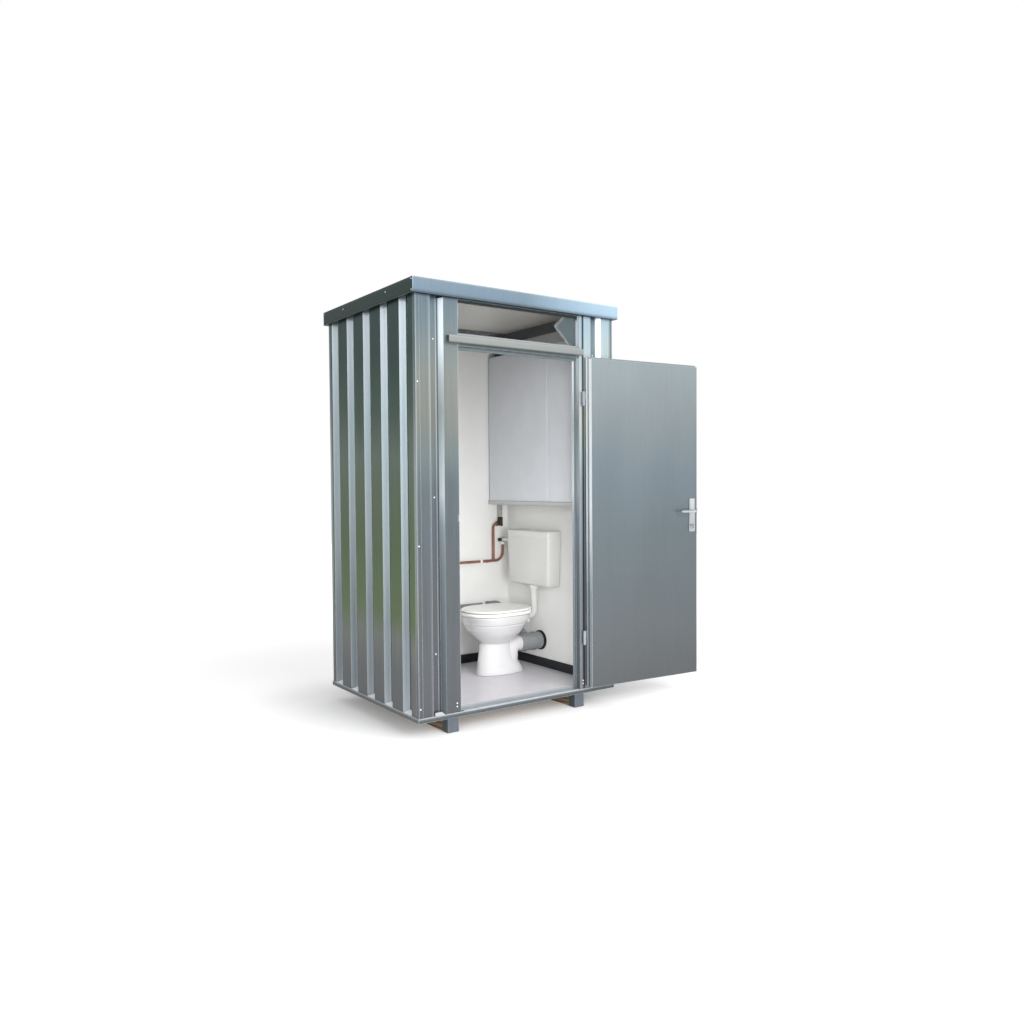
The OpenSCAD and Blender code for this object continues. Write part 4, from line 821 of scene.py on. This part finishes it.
def eyes(near, far, top):
    """The two hinge eyes between two distances from the axis, each with its web up to the shell."""
    made = []
    width = far - near
    barrel = [
        (0, 0.005), (0, 0.008), (0.001, 0.009), (width - 0.001, 0.009), (width, 0.008), (width, 0.005)
    ]
    rear = PIVOT[0] - (0.026 if near < 0.08 else 0.006)
    for k in (-1, 1):
        made.append(skin(turned((PIVOT[0], AXIS_Y + k * near, PIVOT[1]), (0, k, 0), barrel, 24), wrap=True))
        low, high = sorted((AXIS_Y + k * near, AXIS_Y + k * far))
        made.append(skin([
            plate(rear, PIVOT[0] + 0.004, low + 0.001, high - 0.001, 0.002, z, 3)
            for z in (PIVOT[1] + 0.004, top)
        ]))
    return made


piece(
    "seat", [skin(seat_rings, wrap=True)] + eyes(0.053, 0.0696, 0.533), white_plastic, "seat",
    "white_plastic", "toilet_seat", sharp=60
)
outline = egg(0.028, 0.498, 0.180, 0, 0.66, 0.42)
middle = np.array([0.255, AXIS_Y, 0])
DOME = [
    (0.90, 0.5385), (0.965, 0.5385), (0.985, 0.540), (0.997, 0.543), (1.0, 0.546), (0.996, 0.549),
    (0.985, 0.5510), (0.965, 0.5522), (0.93, 0.5528), (0.8, 0.5532), (0.5, 0.5538), (0.2, 0.554)
]
lid_rings = [np.minimum(middle + (outline - middle) * share + [0, 0, z], [0.495, 9, 9]) for share, z in DOME]
piece(
    "lid", [skin(lid_rings)] + eyes(0.0864, 0.103, 0.540), white_plastic, "lid", "white_plastic",
    "toilet_lid", sharp=60
)
print("seat rings", len(seat_rings), "lid rings", len(lid_rings))

# %% [markdown]
# The cistern is a blown box that narrows downwards and is open under its lid, so
# that the button has room to sink. Rounded plates at rising heights, which turn
# back down inside the wall, give that hollow body without a boolean.

# %% Cistern
def cistern_ring(z, shrink):
    """The cistern narrows downwards by 17 mm at each end and 10 mm in front."""
    slope = 0.0155 * (1.002 - min(z, 1.002)) / 0.324 + (0.0015 if z < 1.002 else 0)
    return plate(
        0.5215 + 0.62 * slope + shrink, 0.6365, -0.114 + slope + shrink, 0.356 - slope - shrink, 0.0165, z
    )


body_rings = [
    cistern_ring(z, s)
    for z, s in [
        (0.678, 0.022), (0.6795, 0.012), (0.683, 0.006), (0.689, 0.002), (0.697, 0.0), (0.80, 0), (0.90, 0),
        (1.0, 0), (1.0017, 0.0006), (1.0017, 0.0040), (1.0, 0.0046), (0.690, 0.0046)
    ]
]
piece("cistern", [skin(body_rings)], cistern_plastic, "cabin", "white_plastic", "cistern_body", sharp=60)
cover_rings = [
    cistern_ring(z, s)
    for z, s in [
        (1.0020, 0.0006), (1.0030, 0.0), (1.036, 0.0), (1.0425, 0.0012), (1.0455, 0.0038), (1.047, 0.008)
    ]
]
piece("cistern_lid", [skin(cover_rings)], cistern_plastic, "cabin", "white_plastic", "cistern_lid", sharp=60)
FLUSH_X = 0.5795
flush = tube(
    bent([(0.464, AXIS_Y, 0.476), (FLUSH_X, AXIS_Y, 0.476), (FLUSH_X, AXIS_Y, 0.670)], 0.042), 0.022,
    (0, 1, 0), 40
)
sleeve = turned(
    (FLUSH_X, AXIS_Y, 0.650), (0, 0, 1),
    [(0, 0.0225), (0, 0.0265), (0.004, 0.028), (0.016, 0.0325), (0.0275, 0.0330)]
)
piece("flush_pipe", [skin(flush), skin(sleeve)], cistern_plastic, "cabin", "white_plastic", "flush_pipe")
print("cistern rings", len(body_rings), "cover rings", len(cover_rings))

# %% [markdown]
# Plastic pipes are pushed into sockets with a bead round the mouth. Each socket
# is turned from its profile. The runs between them are tubes along a path with
# true arcs, because a bevelled curve would flatten in a tight bend.

# %% Waste and drain
DRAIN_Y, DRAIN_Z = 0.486, 0.516
MAIN_Y, MAIN_Z = 0.487, 0.820
SOCKET = [
    (0.453, 0.051), (0.453, 0.057), (0.455, 0.058), (0.484, 0.058), (0.487, 0.0615), (0.493, 0.0615),
    (0.496, 0.058), (0.563, 0.058), (0.5665, 0.0615), (0.5735, 0.0615), (0.577, 0.058), (0.6185, 0.058),
    (0.6195, 0.0535), (0.6835, 0.0535), (0.6835, 0.055), (0.7415, 0.055), (0.7425, 0.054), (0.7425, 0.051)
]
branch, elbow = np.array([0.512, 0.135, 0.345]), np.array([0.535, DRAIN_Y, DRAIN_Z])
down = (elbow - branch) / np.linalg.norm(elbow - branch)
boss = turned(
    branch, down,
    [(-0.005, 0.018), (-0.005, 0.021), (0.046, 0.021), (0.047, 0.0215), (0.052, 0.0215), (0.052, 0.018)], 40
)
piece(
    "waste_connector", [skin(turned(WASTE_AXIS, (1, 0, 0), SOCKET, 64), wrap=True), skin(boss)], grey_plastic,
    "cabin", "grey_plastic", "waste_pipe"
)
COLLAR = [
    (0.6215, 0.0535), (0.6215, 0.0600), (0.6230, 0.0640), (0.6260, 0.0658), (0.6335, 0.066), (0.6365, 0.065),
    (0.6365, 0.0535)
]
piece(
    "wall_collar", [skin(turned(WASTE_AXIS, (1, 0, 0), COLLAR, 64), wrap=True)], black_rubber, "cabin",
    "black_rubber", "waste_collar"
)
normal = np.cross([1.0, 0, 0], down)
run = tube(bent([(-0.260, DRAIN_Y, DRAIN_Z), elbow, branch + down * 0.027], 0.03), 0.016, normal)
socket = tube(bent([(0.444, DRAIN_Y, DRAIN_Z), elbow, elbow - down * 0.062], 0.03), 0.021, normal)
lip = turned(
    (0.444, DRAIN_Y, DRAIN_Z), (1, 0, 0),
    [(0, 0.016), (0, 0.0215), (0.001, 0.0225), (0.008, 0.0225), (0.010, 0.021)]
)
piece("drain", [skin(run), skin(socket), skin(lip)], grey_plastic, "cabin", "grey_plastic", "drain_pipe")
CLIPS = [
    (0.399, DRAIN_Y, DRAIN_Z, 0.0162, 0.0185, 0.014), (0.193, DRAIN_Y, DRAIN_Z, 0.0162, 0.0185, 0.014),
    (0.386, MAIN_Y, MAIN_Z, 0.0092, 0.012, 0.016), (0.02, MAIN_Y, MAIN_Z, 0.0092, 0.012, 0.016)
]
clips = [
    skin(turned((x, y, z), (1, 0, 0), [(0, bore), (0, out), (long, out), (long, bore)]), wrap=True)
    for x, y, z, bore, out, long in CLIPS
]
piece("pipe_clips", clips, white_plastic, "cabin", "white_plastic")
print("pipe clips", len(clips))

# %% [markdown]
# The copper is one brazed run of 18 mm pipe with brass nuts, a ribbed column
# under the tank and a small lever valve. A nut is turned with six corners, and
# the column's thread is a zigzag profile, which is enough at this size.

# %% Copper and valves
VALVE_X, INLET_X = 0.5585, 0.5785
main_run = tube(
    bent([(-0.308, MAIN_Y, MAIN_Z), (INLET_X, MAIN_Y, MAIN_Z), (INLET_X, MAIN_Y, 0.946)], 0.060), 0.009,
    (0, 1, 0), 24
)
riser = tube(
    bent([(0.5, MAIN_Y, MAIN_Z), (0.5, MAIN_Y, 1.080), (0.540, MAIN_Y, 1.080)], 0.030), 0.009, (0, 1, 0), 24
)
joint = turned(
    (0.434, MAIN_Y, MAIN_Z), (1, 0, 0), [(0, 0.0085), (0, 0.0105), (0.0205, 0.0105), (0.021, 0.0085)]
)
saddle = turned((0.5, MAIN_Y, 0.822), (0, 0, 1), [(0, 0.0115), (0.010, 0.0105), (0.013, 0.0092)])
piece(
    "copper_run", [skin(main_run), skin(riser), skin(joint), skin(saddle)], copper, "cabin", "copper",
    "copper_pipes"
)
union_nut = turned(
    (VALVE_X, MAIN_Y, 1.216), (0, 0, 1), [(0, 0.019), (0.002, 0.022), (0.018, 0.022), (0.020, 0.020)], 6
)
threads = [(0, 0.015)] + [
    (0.004 + 0.0065 * i + 0.00325 * j, 0.0155 + 0.0018 * j)
    for i in range(12)
    for j in (0, 1)
] + [(0.088, 0.015)]
column = turned((VALVE_X, MAIN_Y, 1.128), (0, 0, 1), threads)
valve = turned(
    (VALVE_X, MAIN_Y, 1.066), (0, 0, 1),
    [(0, 0.012), (0, 0.017), (0.002, 0.019), (0.050, 0.019), (0.058, 0.0165), (0.062, 0.015)]
)
side_nut = turned(
    (0.525, MAIN_Y, 1.080), (1, 0, 0),
    [(0, 0.014), (0.002, 0.0168), (0.014, 0.0168), (0.017, 0.0120), (0.024, 0.012)], 6
)
feed = turned(
    (INLET_X, MAIN_Y, 0.932), (0, 0, 1), [(0, 0.012), (0.001, 0.0145), (0.017, 0.0145), (0.018, 0.012)], 12
)
tap_body = turned(
    (INLET_X, MAIN_Y, 0.950), (0, 0, 1),
    [(0, 0.012), (0.010, 0.0115), (0.014, 0.013), (0.033, 0.013), (0.035, 0.011)]
)
hose = turned(
    (INLET_X, MAIN_Y, 0.966), (0, -1, 0), [(0, 0.009), (0.128, 0.009), (0.128, 0.006), (0.150, 0.006)], 24
)
corner = turned((-0.320, MAIN_Y, 0.808), (0, 0, 1), [(0, 0.012), (0.041, 0.012), (0.042, 0.011)])
corner_arm = turned((-0.320, MAIN_Y, MAIN_Z), (1, 0, 0), [(0, 0.011), (0.028, 0.011)])
piece(
    "brass_nuts", [skin(side_nut), skin(corner), skin(corner_arm)], brass, "cabin", "brass", "brass_fittings",
    sharp=25
)
piece("tank_valve", [skin(valve)], dark_metal, "cabin", "brass", sharp=25)
piece("tank_column", [skin(column), skin(union_nut)], column_metal, "cabin", "brass", sharp=25)
piece("cistern_tap", [skin(tap_body)], column_metal, "cabin", "brass")
piece("feed_nut_and_hose", [skin(feed), skin(hose)], white_plastic, "cabin", "white_plastic", sharp=25)
LEVER_X, LEVER_Y = VALVE_X, 0.4652
hang = [
    plate(
        LEVER_X - 0.0065 * w, LEVER_X + 0.0065 * w, LEVER_Y - 0.0025 * t, LEVER_Y + 0.0025 * t, 0.0012, z, 3
    )
    for z, w, t in [
        (1.0622, 0.7, 0.6), (1.064, 1.0, 0.9), (1.100, 1.0, 1.0), (1.118, 1.0, 1.0), (1.124, 0.8, 0.8)
    ]
]
pin = turned((LEVER_X, LEVER_Y + 0.0024, 1.118), (0, -1, 0), [(0, 0.008), (0.0042, 0.008), (0.005, 0.0072)])
piece("tank_lever", [skin(hang), skin(pin)], green_lever, "tank_lever", "black_plastic", "tank_valve_lever")
knob = turned(
    (0.5652, MAIN_Y, 0.966), (-1, 0, 0),
    [(0, 0.008), (0.004, 0.0115), (0.018, 0.0118), (0.0215, 0.0105), (0.0225, 0.008)], 48, 8, 0.03
)
piece("cistern_knob", [skin(knob)], black_plastic, "cistern_knob", "black_plastic", "cistern_valve_knob")
print("column rings", len(threads))

# %% [markdown]
# ## Tank
# The tank is blown in one mould whose seams show as two faint upright lines on
# its front. A small valley, -a exp(-(d/w)^2), is pressed into the outline there.

# %% Tank
FILLER_Y = 0.432


def tank_ring(z, shrink):
    """Outline of the tank with the two mould seams in its front face."""
    x0, x1, y0, y1, r = 0.4755 + shrink, 0.6365 - shrink, -0.497 + shrink, 0.505 - shrink, 0.016
    ring = plate(x0, x1, y0, y1, r, z)
    seams = np.array([0.151, -0.173])
    marks = (seams[:, None] + [-0.006, -0.003, 0, 0.003, 0.006]).ravel()
    front = np.sort(np.concatenate([np.linspace(y0 + 0.03, y1 - 0.03, 40), marks]))[::-1]
    press = 0.0022 * np.exp(-((front[:, None] - seams) / 0.0028) ** 2).sum(1)
    return np.vstack([ring[:16], np.stack([x0 + press, front, np.full_like(front, z)], 1), ring[16:]])


walls = [
    tank_ring(z, s)
    for z, s in [
        (1.242, 0.008), (1.2435, 0.003), (1.248, 0.0), (1.6, 0), (1.9, 0), (2.230, 0), (2.236, 0.0018),
        (2.2392, 0.0055), (2.240, 0.012)
    ]
]
neck = turned((VALVE_X, FILLER_Y, 2.239), (0, 0, 1), [(0, 0.050), (0.0305, 0.050), (0.0310, 0.048)])
spigot = turned((VALVE_X, MAIN_Y, 1.2262), (0, 0, 1), [(0, 0.0125), (0.016, 0.0125)])
piece("tank", [skin(walls), skin(neck), skin(spigot)], tank_plastic, "cabin", "tank_plastic", "tank_body")
CAP = [
    (0, 0.0500), (0, 0.0585), (0.003, 0.0592), (0.048, 0.0592), (0.053, 0.0570), (0.056, 0.052),
    (0.0555, 0.030), (0.0555, 0.004)
]
cap = turned((VALVE_X, FILLER_Y, 2.246), (0, 0, 1), CAP, 144, 36, 0.012)
piece("tank_cap", [skin(cap)], black_plastic, "cap", "black_plastic", "tank_cap")
print("tank rings", len(walls))

# %% [markdown]
# ## Feet of the grooves
# Where a groove of a side wall or of the front ends on the base ring, the ring's
# top flange lies bare and catches the sky. A thin folded strip lies there, with
# its inner edge turned up a few millimetres against the sheet. The side strips are
# near white, a painted highlight for that sky light.

# %% Groove feet
FLANGE_Z = 0.1202


def foot(corners):
    """A strip over four floor corners, outer pair first; its inner pair stands 13 mm above the flange."""
    low = np.array([(x, y, FLANGE_Z) for x, y in corners])
    return skin([low, low + np.array([[0, 0, 0.0008], [0, 0, 0.0008], [0, 0, 0.0130], [0, 0, 0.0130]])])


feet = []
for at in GROOVES:
    for side in (-1, 1):
        edge, back = side * 0.6822, side * 0.6492
        feet.append(foot([(edge, at - 0.045), (edge, at + 0.045), (back, at + 0.032), (back, at - 0.032)]))
piece("groove_feet", feet, bright_zinc, "cabin", "galv_steel", sharp=20)
front_feet = [
    foot([(side * 0.583, -0.5542), (side * 0.524, -0.5542), (side * 0.532, -0.539), (side * 0.575, -0.539)])
    for side in (-1, 1)
]
piece("front_feet", front_feet, shelf_zinc, "cabin", "galv_steel", sharp=20)
print("groove feet", len(feet) + len(front_feet))

# %% [markdown]
# ## Door furniture
# The leaf was drawn closed and then swung about its hinge, so its small parts are
# drawn closed as well and turned by the same angle.

# %% Levers and plates
HINGE, OPEN = np.array([0.4483, -0.567, 0]), math.radians(175.4)
SWING = np.array([[math.cos(OPEN), -math.sin(OPEN), 0], [math.sin(OPEN), math.cos(OPEN), 0], [0, 0, 1]])
HANDLE_X, LEVER_Z, TURN_Z = -0.373, 1.178, 1.083
PLATE_EDGE = [
    (0, 0), (0.0042, 0), (0.0055, 0.0005), (0.006, 0.0016), (0.006, 0.0034), (0.0052, 0.0050),
    (0.0050, 0.0054)
]
SCREW_Z = (1.059, 1.247)
SCREW = [(0, 0.0036), (0.0006, 0.0036), (0.0012, 0.0028)]


def on_door(shell):
    """Turns a shell's points about the hinge line into the leaf's rest pose."""
    points, quads, fans = shell
    return (points - HINGE) @ SWING.T + HINGE, quads, fans


lever_shells, plate_shells = [], []
for face, out in ((-0.530, 1), (-0.570, -1)):
    reach, tip = face + out * 0.045, HANDLE_X + 0.112
    grip = bent(
        [
            (HANDLE_X, face + out * 0.0005, LEVER_Z), (HANDLE_X, reach, LEVER_Z), (tip, reach, LEVER_Z),
            (tip, face + out * 0.0212, LEVER_Z)
        ],
        0.013
    )
    ease = np.ones(len(grip))
    ease[-1] = 0.7
    lever_shells.append(on_door(skin(tube(grip, 0.008 * ease, (0, 0, 1), 28))))
    rings = []
    for depth, inset in PLATE_EDGE:
        flat = plate(
            HANDLE_X - 0.0235 + inset, HANDLE_X + 0.0235 - inset, 1.046 + inset, 1.260 - inset, 0.008 - inset,
            0
        )
        rings.append(np.stack([flat[:, 0], np.full(len(flat), face + out * depth), flat[:, 1]], 1))
    plate_shells.append(on_door(skin(rings)))
    skin_y = face + out * 0.0048
    for z, r in ((LEVER_Z, 0.0125), (TURN_Z, 0.0118)):
        rose = [(0, r - 0.004), (0, r), (0.0009, r), (0.0012, r - 0.0006), (0.0012, r - 0.004)]
        plate_shells.append(on_door(skin(turned((HANDLE_X, skin_y, z), (0, out, 0), rose, 40), wrap=True)))
    for z in SCREW_Z:
        plate_shells.append(on_door(skin(turned((HANDLE_X, skin_y, z), (0, out, 0), SCREW, 24))))
piece("door_levers", lever_shells, stainless, "lever_set", "stainless", "levers")
piece("back_plates", plate_shells, stainless, "door", "stainless", "door_plates", sharp=30)
print("door furniture", len(lever_shells), "levers", len(plate_shells), "plate shells")

# %% [markdown]
# ## Floor, room and light
# The floor is a wide pale sheet that keeps the shadow. The room is white for the
# camera, for mirrors and for glass, and gives an even light. Two wide lamps add
# a little direction, so that the faces differ, and a small one shines into the
# doorway. The floor glows more with its distance from the cabin, so that the
# shadow close by stays dark; the weaker glow near the cabin is a painted shadow
# that darkens the floor there.

# %% Floor
FLOOR_HALF, FLOOR_Z = 14.0, -0.0005
CABIN_HALF = (0.69, 0.56, 0.0)
# painted shadow: the glow is weaker near the cabin, which darkens the floor there
GLOW_UNDER, GLOW_NEAR, GLOW_FAR = 0.14, 0.22, 0.3
ground = bpy.data.meshes.new("studio_floor")
corners = [(-1, -1), (1, -1), (1, 1), (-1, 1)]
ground.from_pydata([(x * FLOOR_HALF, y * FLOOR_HALF, FLOOR_Z) for x, y in corners], [], [(0, 1, 2, 3)])
studio_floor = bpy.data.objects.new("studio_floor", ground)
scene.collection.objects.link(studio_floor)
pale, tree, shader, place = material("studio floor", Roughness=0.9, Specular_IOR_Level=0.1)
shader.inputs["Base Color"].default_value = (0.9, 0.9, 0.9, 1)
shader.inputs["Emission Color"].default_value = (1, 1, 1, 1)
mirrored = add(tree, "VectorMath", {0: place}, operation="ABSOLUTE").outputs[0]
aside = add(tree, "VectorMath", {0: mirrored, 1: CABIN_HALF}, operation="SUBTRACT").outputs[0]
outside = add(tree, "VectorMath", {0: aside, 1: (0.0, 0.0, 0.0)}, operation="MAXIMUM").outputs[0]
near = add(tree, "VectorMath", {0: outside}, operation="LENGTH").outputs["Value"]
glow = calc(
    tree, "ADD", GLOW_UNDER,
    calc(
        tree, "ADD", times(tree, span(tree, near, 0.0, 0.7), GLOW_NEAR),
        times(tree, span(tree, near, 1.0, 4.5), GLOW_FAR)
    )
)
tree.links.new(times(tree, seen_rays(tree), glow), shader.inputs["Emission Strength"])
ground.materials.append(pale)
print("floor half width", FLOOR_HALF)

# %% Room
ROOM_LIGHT = 0.62
room = bpy.data.worlds.new("room")
scene.world = room
room.use_nodes = True
tree = room.node_tree
back = tree.nodes["Background"]
back.inputs[0].default_value = (1, 1, 1, 1)
light = calc(tree, "ADD", ROOM_LIGHT, times(tree, seen_rays(tree), 0.38))
tree.links.new(light, back.inputs[1])
print("room", scene.world.name)

# %% Lamps
def lamp(name, place, aim, size, power):
    """A square soft lamp that looks from place to aim."""
    data = bpy.data.lights.new(name, "AREA")
    data.size = size
    data.energy = power
    made = bpy.data.objects.new(name, data)
    made.location = place
    made.rotation_euler = (Vector(aim) - Vector(place)).to_track_quat("-Z", "Y").to_euler()
    scene.collection.objects.link(made)
    made.visible_camera = False
    made.visible_glossy = False
    return made


lamp("key", (1.5, -6.0, 4.5), (0, 0, 1.1), 4.0, 250)
lamp("fill", (-4.5, -5.0, 2.2), (0, 0.2, 1.2), 3.0, 120)
lamp("into the room", (-0.5, -2.6, 1.0), (0.2, 0.4, 0.75), 1.0, 40)
